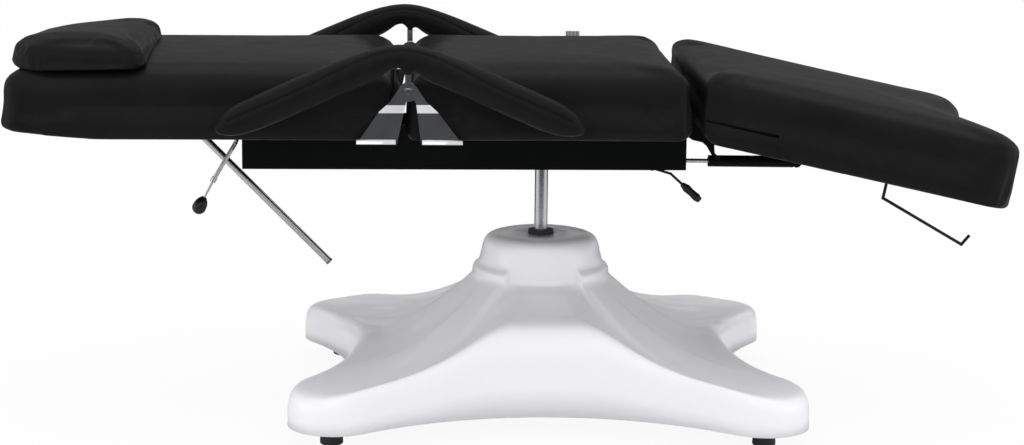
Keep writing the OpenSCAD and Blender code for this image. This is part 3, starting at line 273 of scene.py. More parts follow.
@dataclass(frozen=True)
class Vinyl(Finish):
    """Synthetic leather: fine pebbled grain over slow unevenness."""

    colour: Triple = (0.0062, 0.0062, 0.0067)
    roughness: float = 0.43
    gloss: float = 0.06
    grain_per_m: float = 1150.0
    crack_share: float = 1 / 3.1

    def make(self) -> bpy.types.Material:
        """Build the material with its pebble grain, hairline cracks and slow sheen changes.

        Returns:
            The material.
        """
        sheet = NodeSheet(self.name)
        tone = sheet.noise(9.0, detail=4.0, rough=0.6)
        sheen = sheet.noise(26.0, detail=5.0, rough=0.62)
        sheet.base(Base_Color=sheet.ramp(tone, 0.3, self.colour, 0.75, shaded(self.colour, 1.5)),
                   Roughness=sheet.spread(sheen, self.roughness - 0.06, self.roughness + 0.07),
                   Specular_IOR_Level=self.gloss)
        slow = sheet.bump(sheet.noise(7.5, detail=2.0, rough=0.4), strength=0.35, distance=0.004)
        pebble = sheet.bump(sheet.cells(self.grain_per_m), strength=0.32, distance=0.00022, under=slow)
        cracks = sheet.cells(self.grain_per_m * self.crack_share, "DISTANCE_TO_EDGE")
        return sheet.normal(sheet.bump(cracks, strength=0.18, distance=0.0003, under=pebble))


@dataclass(frozen=True)
class Moulded(Finish):
    """Plastic or lacquer with a chosen fine relief."""

    colour: Triple = (0.8, 0.8, 0.8)
    roughness: float = 0.25
    grain: Grain = Grain.ORANGE_PEEL
    coat: float = 0.0
    coat_roughness: float = 0.14
    tint: float = 0.2
    gloss: float = 0.5

    def make(self) -> bpy.types.Material:
        """Build the material; its tone drifts a little and its relief follows the grain.

        Returns:
            The material.
        """
        sheet = NodeSheet(self.name)
        tone, wear = sheet.noise(6.0), sheet.noise(40.0, detail=4.0, rough=0.6)
        sheet.base(Base_Color=sheet.ramp(tone, 0.3, shaded(self.colour, 1 - self.tint), 0.7, self.colour),
                   Roughness=sheet.spread(wear, self.roughness * 0.85, self.roughness * 1.18),
                   Coat_Weight=self.coat, Coat_Roughness=self.coat_roughness, Specular_IOR_Level=self.gloss)
        if self.grain is Grain.SAND:
            return sheet.normal(sheet.bump(sheet.noise(1900.0, detail=2.0), strength=0.3, distance=0.0002))
        if self.grain is Grain.ORANGE_PEEL:
            wide = sheet.bump(sheet.noise(11.0, detail=1.0), strength=0.12, distance=0.002)
            fine = sheet.noise(330.0, detail=1.0)
            return sheet.normal(sheet.bump(fine, strength=0.05, distance=0.0002, under=wide))
        return sheet.normal(sheet.bump(sheet.noise(90.0, detail=1.0), strength=0.02, distance=0.0002))


@dataclass(frozen=True)
class Plated(Finish):
    """Bright plated steel with faint polishing lines and smudges."""

    colour: Triple
    roughness: float
    lines: Triple = (30.0, 30.0, 1400.0)

    def make(self) -> bpy.types.Material:
        """Build the material.

        Returns:
            The material.
        """
        sheet = NodeSheet(self.name)
        tone, smudge = (sheet.noise(22.0, detail=4.0, rough=0.6), sheet.noise(55.0, detail=5.0, rough=0.65))
        sheet.base(Base_Color=sheet.ramp(tone, 0.3, shaded(self.colour, 0.86), 0.65, self.colour),
                   Roughness=sheet.spread(smudge, self.roughness * 0.6, self.roughness * 1.7), Metallic=1.0)
        lines = sheet.noise(1.0, detail=2.0, source=sheet.stretched(self.lines))
        return sheet.normal(sheet.bump(lines, strength=0.08, distance=0.00008))


@dataclass(frozen=True)
class Plywood(Finish):
    """Sanded plywood: long grain on the face and thin layers on the edges."""

    pale: Triple = (0.52, 0.36, 0.2)
    dark: Triple = (0.33, 0.2, 0.1)
    roughness: float = 0.72
    fibres: Triple = (3.0, 90.0, 640.0)

    def make(self) -> bpy.types.Material:
        """Build the material.

        Returns:
            The material.
        """
        sheet = NodeSheet(self.name)
        fibre = sheet.noise(1.0, detail=6.0, rough=0.65, source=sheet.stretched(self.fibres))
        sheet.base(Base_Color=sheet.ramp(fibre, 0.3, self.dark, 0.68, self.pale), Roughness=self.roughness)
        return sheet.normal(sheet.bump(fibre, strength=0.25, distance=0.0006))


@dataclass(frozen=True)
class Woven(Finish):
    """Plain weave of a tape."""

    colour: Triple = (0.4, 0.41, 0.43)
    waves: float = 45.0
    roughness: float = 0.85
    sheen: float = 0.2

    def make(self) -> bpy.types.Material:
        """Build the material from two crossed sets of threads.

        Returns:
            The material.
        """
        sheet = NodeSheet(self.name)
        threads = {}
        for index, axis in enumerate("XY"):
            inputs = {"Vector": sheet.coords, "Scale": self.waves, "Distortion": 0.4}
            threads[index] = sheet.add("ShaderNodeTexWave", inputs, bands_direction=axis).outputs["Fac"]
        weave = sheet.add("ShaderNodeMath", threads, operation="MAXIMUM").outputs[0]
        # The tape's colour darkens where the weave is low: painted shade in the gaps between the threads.
        sheet.base(Base_Color=sheet.ramp(weave, 0.2, shaded(self.colour, 0.6), 0.9, self.colour),
                   Roughness=self.roughness, Sheen_Weight=self.sheen)
        return sheet.normal(sheet.bump(weave, strength=0.5, distance=0.0003))


FINISHES: tuple[Finish, ...] = (
    Vinyl("cover_black"),
    Moulded("base_white", (0.87, 0.865, 0.905), 0.32, coat=0.25, tint=0.012),
    Moulded("frame_black", (0.0032, 0.0038, 0.0038), 0.4, Grain.SAND, gloss=0.06),
    Moulded("pump_grey", (0.16, 0.16, 0.17), 0.4, Grain.SAND, tint=0.15),
    Moulded("rubber_black", (0.02, 0.02, 0.021), 0.62, Grain.SAND),
    Moulded("plastic_black", (0.009, 0.009, 0.01), 0.24, Grain.SMOOTH, gloss=0.3),
    Moulded("wire_black", (0.009, 0.009, 0.01), 0.3, Grain.SMOOTH, gloss=0.2),
    Plated("plate_chrome", (0.70, 0.715, 0.74), 0.12, (1200.0, 30.0, 40.0)),
    Plated("rod_chrome", (0.52, 0.53, 0.545), 0.17),
    Plated("steel_bright", (0.62, 0.63, 0.64), 0.28, (500.0, 500.0, 500.0)),
    Plywood("board_wood"),
    Woven("tab_grey"),
)


class Palette:
    """All finishes, made once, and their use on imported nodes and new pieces."""

    def __init__(self) -> None:
        """Make every finish."""
        self.made: dict[str, bpy.types.Material] = {finish.name: finish.make() for finish in FINISHES}

    def paint(self, obj: Object, slot: str) -> None:
        """Make the slot's finish the only one on an object."""
        put_material(obj, self.made[slot])

    def dress(self, record: dict, nodes: dict[str, Object]) -> None:
        """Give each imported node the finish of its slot.

        Args:
            record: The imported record.
            nodes: Node objects by name.
        """
        for part in record["subparts"]:
            self.paint(nodes[part["node"]], part["material_slot"])

    def settle(self, obj: Object, slot: str, body: str, node: str | None = None
               ) -> None:
        """Paint a finished piece, tie it to the frame and report it.

        Args:
            obj: The piece.
            slot: The material slot that its finish comes from.
            body: The body that it rides on.
            node: The CAD node that it stands for, if any.
        """
        self.paint(obj, slot)
        if node is not None:
            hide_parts(node)
        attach(obj, body)
        LOG.info("%s: %d faces", obj.name, len(obj.data.polygons))


def put_material(obj: Object, material: bpy.types.Material) -> None:
    """Make a material the only one on an object."""
    obj.data.materials.clear()
    obj.data.materials.append(material)


# ---------------------------------------------------------------------------------------------------------
# Mesh making


def link_object(name: str, data: bpy.types.ID) -> Object:
    """Put mesh, lamp or camera data into the scene as an object."""
    obj = bpy.data.objects.new(name, data)
    bpy.context.scene.collection.objects.link(obj)
    return obj


def mesh_object(name: str, points: Iterable, faces: Iterable[Sequence[int]] = (), smooth: bool = True,
                edges: Sequence[tuple[int, int]] = ()) -> Object:
    """Make an object at the origin from points and faces.

    Args:
        name: Name of the object.
        points: Points, one row each.
        faces: Corner lists.
        smooth: Shade smooth.
        edges: Loose edges, as pairs of points.

    Returns:
        The linked object.
    """
    mesh = bpy.data.meshes.new(name)
    mesh.from_pydata([tuple(p) for p in points], edges, [tuple(f) for f in faces])
    mesh.update()
    if smooth:
        mesh.shade_smooth()
    return link_object(name, mesh)


def ring_stack(name: str, rings: np.ndarray, ends: tuple[np.ndarray, np.ndarray] | None) -> Object:
    """Skin a stack of rings with four-sided faces.

    Args:
        name: Name of the object.
        rings: Rings by points by xyz; they run counter-clockwise seen from the last ring's side.
        ends: Middle points that close the first and last ring, or None to join the last ring to the first.

    Returns:
        The linked object.
    """
    count, n = rings.shape[:2]
    points = rings.reshape(-1, 3)
    step = [(i, (i + 1) % n) for i in range(n)]
    faces: list[tuple[int, ...]] = []
    for k in range(count if ends is None else count - 1):
        a, b = k * n, ((k + 1) % count) * n
        faces += [(a + i, a + j, b + j, b + i) for i, j in step]
    if ends is not None:
        points = np.vstack([points, *ends])
        low, high, top = count * n, count * n + 1, (count - 1) * n
        faces += [face for i, j in step for face in ((j, i, low), (top + i, top + j, high))]
    return mesh_object(name, points, faces)


def quad(name: str, low: Triple, high: Triple) -> Object:
    """Make one level or upright four-sided face between two opposite corners."""
    (x0, y0, z0), (x1, y1, z1) = low, high
    return mesh_object(name, [(x0, y0, z0), (x1, y0, z0), (x1, y1, z1), (x0, y1, z1)], [(0, 1, 2, 3)])


def read_rows(rows: bpy.types.bpy_prop_collection, key: str) -> np.ndarray:
    """A vector property of a mesh's points or normals, as rows of xyz."""
    out = np.empty(len(rows) * 3, np.float32)
    rows.foreach_get(key, out)
    return out.reshape(-1, 3).astype(float)


def read_points(obj: Object) -> np.ndarray:
    """The object's mesh points as rows of xyz."""
    return read_rows(obj.data.vertices, "co")


def read_both(obj: Object) -> tuple[np.ndarray, np.ndarray]:
    """The object's mesh points and their normals."""
    return read_points(obj), read_rows(obj.data.vertex_normals, "vector")


def write_points(obj: Object, points: np.ndarray) -> None:
    """Put points back into the object's mesh."""
    obj.data.vertices.foreach_set("co", points.astype(np.float32).ravel())
    obj.data.update()


def bake(obj: Object) -> None:
    """Turn an object's modifiers into plain mesh and drop them.

    Args:
        obj: The object.
    """
    graph = bpy.context.evaluated_depsgraph_get()
    solved = obj.evaluated_get(graph)
    mesh = bpy.data.meshes.new_from_object(solved, preserve_all_data_layers=True, depsgraph=graph)
    old = obj.data
    obj.modifiers.clear()
    obj.data = mesh
    bpy.data.meshes.remove(old)
    mesh.shade_smooth()


def with_modifier(obj: Object, kind: str, **settings: object) -> None:
    """Add one modifier and bake it.

    Args:
        obj: The object.
        kind: Blender's modifier type.
        **settings: Its properties.
    """
    modifier = obj.modifiers.new(kind.lower(), kind)
    for key, value in settings.items():
        setattr(modifier, key, value)
    bake(obj)


def cloth_sheet(name: str, grid: np.ndarray, thickness: float) -> Object:
    """Skin a grid of points and give it a thickness.

    Args:
        name: Name of the object.
        grid: Rows by points by xyz.
        thickness: Thickness, half of it to each side.

    Returns:
        The linked object.
    """
    rows, n = grid.shape[:2]
    faces = [(i * n + k, (i + 1) * n + k, (i + 1) * n + k + 1, i * n + k + 1)
             for i in range(rows - 1) for k in range(n - 1)]
    obj = mesh_object(name, grid.reshape(-1, 3), faces)
    with_modifier(obj, "SOLIDIFY", thickness=thickness, offset=0.0)
    return obj


def carve(obj: Object, corners: Iterable[Triple]) -> None:
    """Cut a six-sided block out of an object.

    Args:
        obj: The object.
        corners: The block's eight corners, sorted by x, then y, then z.
    """
    faces = [(0, 1, 3, 2), (4, 6, 7, 5), (0, 4, 5, 1), (2, 3, 7, 6), (0, 2, 6, 4), (1, 5, 7, 3)]
    cutter = mesh_object("cutter", corners, faces, smooth=False)
    with_modifier(obj, "BOOLEAN", operation="DIFFERENCE", object=cutter, solver="EXACT")
    bpy.data.objects.remove(cutter)


@dataclass
class Stuffing:
    """Pneumatic swelling of a closed cover by cloth simulation."""

    voxel: float = 0.007
    pressure: float = 4.0
    cap: float = 0.008
    frames: int = 20
    hold_below: float = 0.004
    quality: int = 4
    mass: float = 0.35
    stretch: float = 18.0
    shear: float = 6.0
    bend: float = 0.6

    def swell(self, obj: Object, floor: Callable[[np.ndarray], np.ndarray]) -> None:
        """Remesh the cover, blow it up a little, cap the movement and smooth it once.

        Args:
            obj: Closed cover, slightly small.
            floor: Height of each point above the cover's seat; low points are held.
        """
        with_modifier(obj, "REMESH", mode="VOXEL", voxel_size=self.voxel)
        self._blow(obj, floor)
        with_modifier(obj, "SUBSURF", levels=1, render_levels=1)

    def _blow(self, obj: Object, floor: Callable[[np.ndarray], np.ndarray]) -> None:
        """Run the simulation and keep its capped result.

        Args:
            obj: The cover.
            floor: As in swell.
        """
        start = read_points(obj)
        held = obj.vertex_groups.new(name="held")
        held.add([int(i) for i in np.nonzero(floor(start) < self.hold_below)[0]], 1.0, "REPLACE")
        cloth = obj.modifiers.new("cloth", "CLOTH")
        made = cloth.settings
        made.quality = self.quality
        made.mass = self.mass
        made.tension_stiffness = made.compression_stiffness = self.stretch
        made.shear_stiffness = self.shear
        made.bending_stiffness = self.bend
        made.use_pressure = True
        made.uniform_pressure_force = self.pressure
        made.effector_weights.gravity = 0.0
        made.vertex_group_mass = held.name
        cloth.collision_settings.use_collision = False
        cloth.point_cache.frame_start = 1
        cloth.point_cache.frame_end = self.frames
        scene = bpy.context.scene
        for frame in range(1, self.frames + 1):
            scene.frame_set(frame)
        moved = read_points(obj.evaluated_get(bpy.context.evaluated_depsgraph_get()))
        obj.modifiers.clear()
        obj.vertex_groups.clear()
        scene.frame_set(1)
        step = moved - start
        length = np.linalg.norm(step, axis=1, keepdims=True)
        write_points(obj, start + step * np.minimum(1.0, self.cap / np.maximum(length, 1e-9)))


@dataclass(frozen=True)
class Wave:
    """Smooth unevenness of a cover: waves per metre along each axis, depth, and offset into the noise."""

    per_m: Triple
    depth: float
    seed: float = 0.0

    def at(self, points: np.ndarray, seed: float = 0.0) -> np.ndarray:
        """Unevenness at each point, from -depth to depth; seed is one more offset."""
        scaled = points * np.array(self.per_m) + (self.seed + seed)
        return np.array([noise.noise(Vector(row)) for row in scaled]) * self.depth


def smooth_step(value: np.ndarray | float, low: float, high: float) -> np.ndarray:
    """Rise from 0 at low to 1 at high with a level start and end."""
    t = np.clip((np.asarray(value, float) - low) / (high - low), 0.0, 1.0)
    return t * t * (3 - 2 * t)


def dip(distance: np.ndarray | float, width: float) -> np.ndarray:
    """Soft groove round a line: 1 on it and nearly 0 past twice the width."""
    return np.exp(-((distance / width) ** 2))


def path_distance(points: np.ndarray, path: np.ndarray) -> tuple[np.ndarray, np.ndarray]:
    """Distance from a path of straight runs, and the length along it.

    Args:
        points: Points.
        path: The path's corners.

    Returns:
        Distances, and lengths along the path at the nearest place.
    """
    best = np.full(len(points), 1e9)
    along = np.zeros(len(points))
    run = 0.0
    for a, b in zip(path[:-1], path[1:]):
        leg = b - a
        size = float(np.linalg.norm(leg))
        t = np.clip((points - a) @ leg / max(size * size, 1e-12), 0.0, 1.0)
        d = np.linalg.norm(points - (a + t[:, None] * leg), axis=1)
        near = d < best
        best[near] = d[near]
        along[near] = run + t[near] * size
        run += size
    return best, along


@dataclass(frozen=True)
class Run:
    """Small like pieces at even steps along paths, made by a node tree."""

    unit: Unit
    spacing: float
    length: float
    width: float

    def tree(self) -> bpy.types.GeometryNodeTree:
        """Build the tree: path to even points, and a unit on each that is turned along the path.

        Returns:
            The tree.
        """
        tree = bpy.data.node_groups.new(f"run_of_{self.unit.value}", "GeometryNodeTree")
        tree.interface.new_socket("Path", in_out="INPUT", socket_type="NodeSocketGeometry")
        tree.interface.new_socket("Pieces", in_out="OUTPUT", socket_type="NodeSocketGeometry")

        def add(kind: str, inputs: dict, output: str, **settings: object) -> Socket:
            """Add a node and return one of its outputs."""
            return add_node(tree, kind, inputs, **settings).outputs[output]

        path = add("NodeGroupInput", {}, "Path")
        curve = add("GeometryNodeMeshToCurve", {"Mesh": path}, "Curve")
        even = add("GeometryNodeResampleCurve", {"Curve": curve, "Length": self.spacing}, "Curve",
                   mode="LENGTH")
        tangent = add("GeometryNodeInputTangent", {}, "Tangent")
        turn = add("FunctionNodeAlignRotationToVector", {"Vector": tangent}, "Rotation", axis="X")
        size = (self.length, self.width, self.width)
        if self.unit is Unit.STITCH:
            scale = size
            shape = add("GeometryNodeMeshUVSphere", {"Segments": 6, "Rings": 4, "Radius": 0.5}, "Mesh")
        else:
            scale = (1.0, 1.0, 1.0)
            shape = add("GeometryNodeMeshCube", {"Size": size}, "Mesh")
        placed = add("GeometryNodeInstanceOnPoints",
                     {"Points": even, "Instance": shape, "Rotation": turn, "Scale": scale}, "Instances")
        real = add("GeometryNodeRealizeInstances", {"Geometry": placed}, "Geometry")
        add_node(tree, "NodeGroupOutput", {"Pieces": real})
        return tree

    def along(self, name: str, paths: Sequence[np.ndarray]) -> Object:
        """Set the units along paths.

        Args:
            name: Name of the new object.
            paths: Corners of each path.

        Returns:
            One plain mesh object with all the units.
        """
        edges, start = [], 0
        for path in paths:
            edges += [(start + i, start + i + 1) for i in range(len(path) - 1)]
            start += len(path)
        obj = mesh_object(name, np.vstack(paths), edges=edges)
        obj.modifiers.new("run", "NODES").node_group = self.tree()
        bake(obj)
        return obj


# ---------------------------------------------------------------------------------------------------------
# Upholstery


@dataclass
class Pad:
    """A boxed pad: rounded plan, round shoulders, crown, and an underside that runs out at its ends."""

    name: str
    node: str
    body: str
    x0: float
    length: float
    head_corner: float = 0.0
    foot_corner: float = 0.0
    shoulder: float = 0.032
    crown: float = 0.007
    width: float = PAD_WIDTH
    thick: float = PAD_THICK
    bottom: float = PAD_BOTTOM
    foot_edge: float = 0.010
    draw: float = 0.004
    scallop: float = 0.0
    shift: float = 0.0
    underside: Underside = Underside.LEVEL
    inset: float = 0.0022
    fill: float = 0.85
    stuffing: Stuffing = field(default_factory=Stuffing)
    least_corner: float = 0.008
    rise: float = 0.018
    rise_length: float = 0.185
    hinge_round: float = 0.028
    fade_power: float = 1.5
    board: Pair = (0.0, 0.0)
    board_room: float = 0.006
    board_gap: float = 0.001
    bevel: float = 0.0
    bevel_length: float = 0.150
    head_room: float = 0.0
    side_room: float = 0.0008
    seed: float = 0.0
    waves: tuple[Wave, Wave] = (Wave((7.0, 5.0, 9.0), 0.0011), Wave((26.0, 16.0, 30.0), 0.0003))
    proudest: float = 0.0004

    def ring(self, inside: float) -> np.ndarray:
        """Plan outline that lies a distance inside the full size.

        Args:
            inside: The distance.

        Returns:
            Rows of xy.
        """
        hy, x0, x1 = self.width / 2 - inside, inside, self.length - inside
        ra = max(self.head_corner - inside, self.least_corner)
        rb = max(self.foot_corner - inside, self.least_corner)
        long = np.linspace(0, 1, 40)[1:-1]
        cross = np.linspace(0, 1, 36)[1:-1]

        def corner(cx: float, cy: float, r: float, start: float) -> np.ndarray:
            """Quarter circle of a corner."""
            a = np.radians(start + np.linspace(0, 90, 12))
            return np.stack([cx + r * np.cos(a), cy + r * np.sin(a)], 1)

        return np.vstack([
            np.stack([x0 + ra + (x1 - rb - x0 - ra) * long, -hy + self.draw * np.sin(np.pi * long)], 1),
            corner(x1 - rb, rb - hy, rb, -90),
            np.stack([x1 - self.scallop * np.sin(np.pi * cross) ** 2, (hy - rb) * (2 * cross - 1)], 1),
            corner(x1 - rb, hy - rb, rb, 0),
            np.stack([x1 - rb + (x0 + ra - x1 + rb) * long, hy - self.draw * np.sin(np.pi * long)], 1),
            corner(x0 + ra, hy - ra, ra, 90),
            np.stack([np.full_like(cross, x0), (hy - ra) * (1 - 2 * cross)], 1),
            corner(x0 + ra, ra - hy, ra, 180),
        ])

    def profile(self) -> list[Pair]:
        """Side profile as distance inside the edge and height: foot edge, wall, shoulder and dome.

        Returns:
            The profile's points from the underside to the top.
        """
        foot, top, t = self.foot_edge, self.shoulder, self.thick
        half = min(self.length, self.width) / 2
        arc = np.radians(np.linspace(0, 90, 9))
        low = [(foot * (1 - math.sin(a)), foot * (1 - math.cos(a))) for a in arc[::2]]
        wall = [(0.0, foot + (t - top - foot) * s) for s in (0.2, 0.4, 0.6, 0.8)]
        high = [(top * (1 - math.cos(a)), t - top + top * math.sin(a)) for a in arc]
        dome = [(top + (half - top) * s, t + self.crown * math.sin(math.pi / 2 * min(1.0, s * 1.25)))
                for s in (0.05, 0.12, 0.22, 0.34, 0.48, 0.62, 0.76, 0.88, 0.95)]
        return low + wall + high + dome

    def lift(self, x: np.ndarray, z: np.ndarray) -> np.ndarray:
        """How far the underside's shape raises points.

        Args:
            x: Their distances from the head end.
            z: Their heights in the plain pad.

        Returns:
            One height a point.
        """
        flat = self.thick - self.shoulder
        fade = np.where(z >= flat, 0.0, np.clip(1 - z / flat, 0, 1) ** self.fade_power)
        if self.underside is Underside.LEVEL:
            return np.zeros_like(z)
        if self.underside is Underside.HEAD_RISE:
            return fade * self.rise * np.clip(1 - x / self.rise_length, 0, 1) ** self.fade_power
        r = self.hinge_round
        end = np.clip(self.length - x if self.underside is Underside.ROUND_FOOT else x, 0, r)
        return fade * (r - np.sqrt(np.maximum(r * r - (r - end) ** 2, 0.0)))

    def build(self) -> Object:
        """Loft, stuff and finish the pad.

        Returns:
            The pad's object, flat and in place along X.
        """
        rings = []
        for inside, height in self.profile():
            plan = self.ring(inside + self.inset)
            z = np.full(len(plan), height - self.inset if height > self.thick / 2 else height)
            lean = self.bevel * z * np.clip(1 - plan[:, 0] / self.bevel_length, 0, None)
            rings.append(np.column_stack([plan[:, 0] - lean, plan[:, 1],
                                          z * self.fullness(plan) + self.lift(plan[:, 0], z)]))
        mid = self.length / 2
        peak = (self.thick + self.crown - self.inset) * float(self.fullness(np.array([[mid, 0.0]]))[0])
        obj = ring_stack(self.name, np.array(rings), (np.array([mid, 0, 0]), np.array([mid, 0, peak])))
        write_points(obj, read_points(obj) + np.array([self.x0, self.shift, self.bottom]))
        self.stuffing.swell(
            obj, lambda p: p[:, 2] - self.bottom - self.lift(p[:, 0] - self.x0, np.zeros(len(p))))
        self.limit(obj)
        self.crease(obj)
        return obj

    def fullness(self, plan: np.ndarray) -> np.ndarray:
        """Share of the thickness at places of the plan."""
        return np.ones(len(plan))

    def crease(self, obj: Object) -> None:
        """Give the cover its slow unevenness, and make room for the board underneath.

        Args:
            obj: The pad.
        """
        p, n = read_both(obj)
        inward = self.width / 2 - np.abs(p[:, 1])
        uneven = sum(wave.at(p, self.seed) for wave in self.waves)
        share = smooth_step(p[:, 2] - self.bottom, 0.004, 0.03) * (1 - 0.6 * smooth_step(inward, 0.02, 0.1))
        p += n * (np.minimum(uneven, self.proudest) * share)[:, None]
        gap, ceiling = self.board_gap, self.bottom + self.board_room
        above = ((np.abs(p[:, 1]) < BOARD_SIDE - gap) & (p[:, 0] > self.board[0] + gap)
                 & (p[:, 0] < self.board[1] - gap) & (p[:, 2] < ceiling))
        p[above, 2] = ceiling
        write_points(obj, p)

    def limit(self, obj: Object) -> None:
        """Keep the swollen pad inside the room that its neighbours leave it.

        Args:
            obj: The pad.
        """
        p, room = read_points(obj), self.side_room
        head = self.x0 - self.bevel * np.maximum(p[:, 2] - self.bottom, 0.0) - room - self.head_room
        half = self.width / 2 + room
        p[:, 1] = np.clip(p[:, 1], self.shift - half, self.shift + half)
        p[:, 0] = np.clip(p[:, 0], head, self.x0 + self.length + room)
        p[:, 2] = np.maximum(p[:, 2], self.bottom)
        write_points(obj, p)


@dataclass
class LegPad(Pad):
    """The leg pad: hollow foot end, a leaning hinge end, a slit and a join in its side panels."""

    slit_x: Pair = (-0.030, 0.136)
    slit_rise: float = 0.0400
    slit_height: Pair = (0.0028, 0.0055)
    slit_y: Pair = (-0.020, 0.014)
    join_at: float = 0.156
    join_width: float = 0.0032
    join_depth: float = 0.0011
    side_depth: float = 0.016

    def crease(self, obj: Object) -> None:
        """Sink the side panels' upright join, then cut the slit, narrow at the hinge, into the near one.

        Args:
            obj: The pad.
        """
        super().crease(obj)
        p, n = read_both(obj)
        side = np.abs(p[:, 1]) > self.width / 2 - self.side_depth
        away = p[:, 0] - LEG_HINGE[0] - self.join_at
        p -= n * (dip(away, self.join_width) * self.join_depth * side)[:, None]
        write_points(obj, p)
        z = self.bottom + self.slit_rise
        ends = zip(self.slit_x, self.slit_height)
        carve(obj, [(LEG_HINGE[0] + x, y - self.width / 2, z + up * height / 2)
                    for x, height in ends for y in self.slit_y for up in (-1, 1)])


@dataclass
class Pillow(Pad):
    """The loose head pillow: its far corner at the head end is cut off in a wide curve."""

    near_head: Pair = (0.070, 0.075)
    near_foot: Pair = (0.036, 0.050)
    far_foot: Pair = (0.060, 0.070)
    far_head: Pair = (0.180, 0.165)
    corner_steps: int = 34
    side_steps: int = 24
    heights: tuple[float, float, float, float] = (1.12, 0.86, 0.93, 0.45)
    foot_shear: Pair = (0.014, -0.007)
    sag: Pair = (0.012, 0.006)
    folds: tuple[Wave, Wave] = (Wave((34.0, 30.0, 9.0), 0.0012, 3.7), Wave((11.0, 11.0, 20.0), 0.0012, 9.1))
    top_wave: Wave = Wave((9.0, 7.0, 5.0), 0.0012, 5.2)
    fold_sink: float = 0.0008
    seam_height: Pair = (0.80, 0.055)
    seam_depth: float = 0.0012
    tuck: tuple[Triple, ...] = ((-0.066, 0.0, 0.020), (-0.055, 0.0, 0.0165), (-0.040, 0.004, 0.0175))
    tuck_press: Pair = (0.0042, 0.0042)

    def ring(self, inside: float) -> np.ndarray:
        """Plan outline that lies a distance inside the full size.

        Args:
            inside: The distance.

        Returns:
            Rows of xy.
        """
        hy, x0, x1 = self.width / 2 - inside, inside, self.length - inside
        rounds = []
        corners = ((self.near_foot, x1, -hy, -90, (-1, 1)), (self.far_foot, x1, hy, 0, (-1, -1)),
                   (self.far_head, x0, hy, 90, (1, -1)), (self.near_head, x0, -hy, 180, (1, 1)))
        for (rx, ry), x, y, start, (sx, sy) in corners:
            rx, ry = max(rx - inside, self.least_corner), max(ry - inside, self.least_corner)
            a = np.radians(start + np.linspace(0, 90, self.corner_steps))
            rounds.append(np.stack([x + sx * rx + rx * np.cos(a), y + sy * ry + ry * np.sin(a)], 1))
        steps = (np.arange(1, self.side_steps) / self.side_steps)[:, None]
        plan = np.vstack([part for this, after in zip(rounds, rounds[1:] + rounds[:1])
                          for part in (this, this[-1] + (after[0] - this[-1]) * steps)])
        near, far = self.foot_shear
        across = np.clip(plan[:, 1] / self.width + 0.5, 0, 1)
        plan[:, 0] += (near + (far - near) * across) * smooth_step(plan[:, 0] / self.length, 0.2, 1.0)
        return plan

    def fullness(self, plan: np.ndarray) -> np.ndarray:
        """Share of the thickness, which is greatest at the near head corner and the far foot corner.

        Args:
            plan: Places as rows of xy.

        Returns:
            One share a place.
        """
        t = np.clip(plan[:, 0] / self.length, 0, 1)
        w = np.clip(plan[:, 1] / self.width + 0.5, 0, 1)
        near_head, near_foot, far_foot, far_head = self.heights
        far = far_head + (far_foot - far_head) * t ** self.fade_power
        return (near_head * (1 - t) + near_foot * t) * (1 - w) + far * w

    def crease(self, obj: Object) -> None:
        """Sink the seam round the side, and add the buckles and the short tuck of a soft cover.

        Args:
            obj: The pillow.
        """
        p, n = read_both(obj)
        plan = np.column_stack([p[:, 0] - self.x0, p[:, 1] - self.shift])
        height = (p[:, 2] - self.bottom) / (self.thick * self.fullness(plan))
        rim = smooth_step(1 - np.abs(n[:, 2]), 0.25, 0.6)
        folds = sum(wave.at(p) for wave in self.folds) - self.fold_sink
        p += n * (folds * rim * smooth_step(height, 0.08, 0.3))[:, None]
        p += n * (self.top_wave.at(p) * (1 - rim) * smooth_step(height, 0.5, 0.9))[:, None]
        p -= n * (dip(height - self.seam_height[0], self.seam_height[1]) * self.seam_depth * rim)[:, None]
        side = self.shift - self.width / 2
        distance, _ = path_distance(p, np.array(self.tuck) + (self.x0 + self.length, side, self.bottom))
        depth, width = self.tuck_press
        p -= n * (dip(distance, width) * depth)[:, None]
        along = np.clip((p[:, 0] - self.x0) / self.length, 0, 1)
        near = 1 - smooth_step(p[:, 1] - side, 0.004, 0.075)
        low = 1 - smooth_step((p[:, 2] - self.bottom) / self.thick, 0.2, 0.9)
        p[:, 2] -= (self.sag[0] + (self.sag[1] - self.sag[0]) * along) * near * low
        write_points(obj, p)


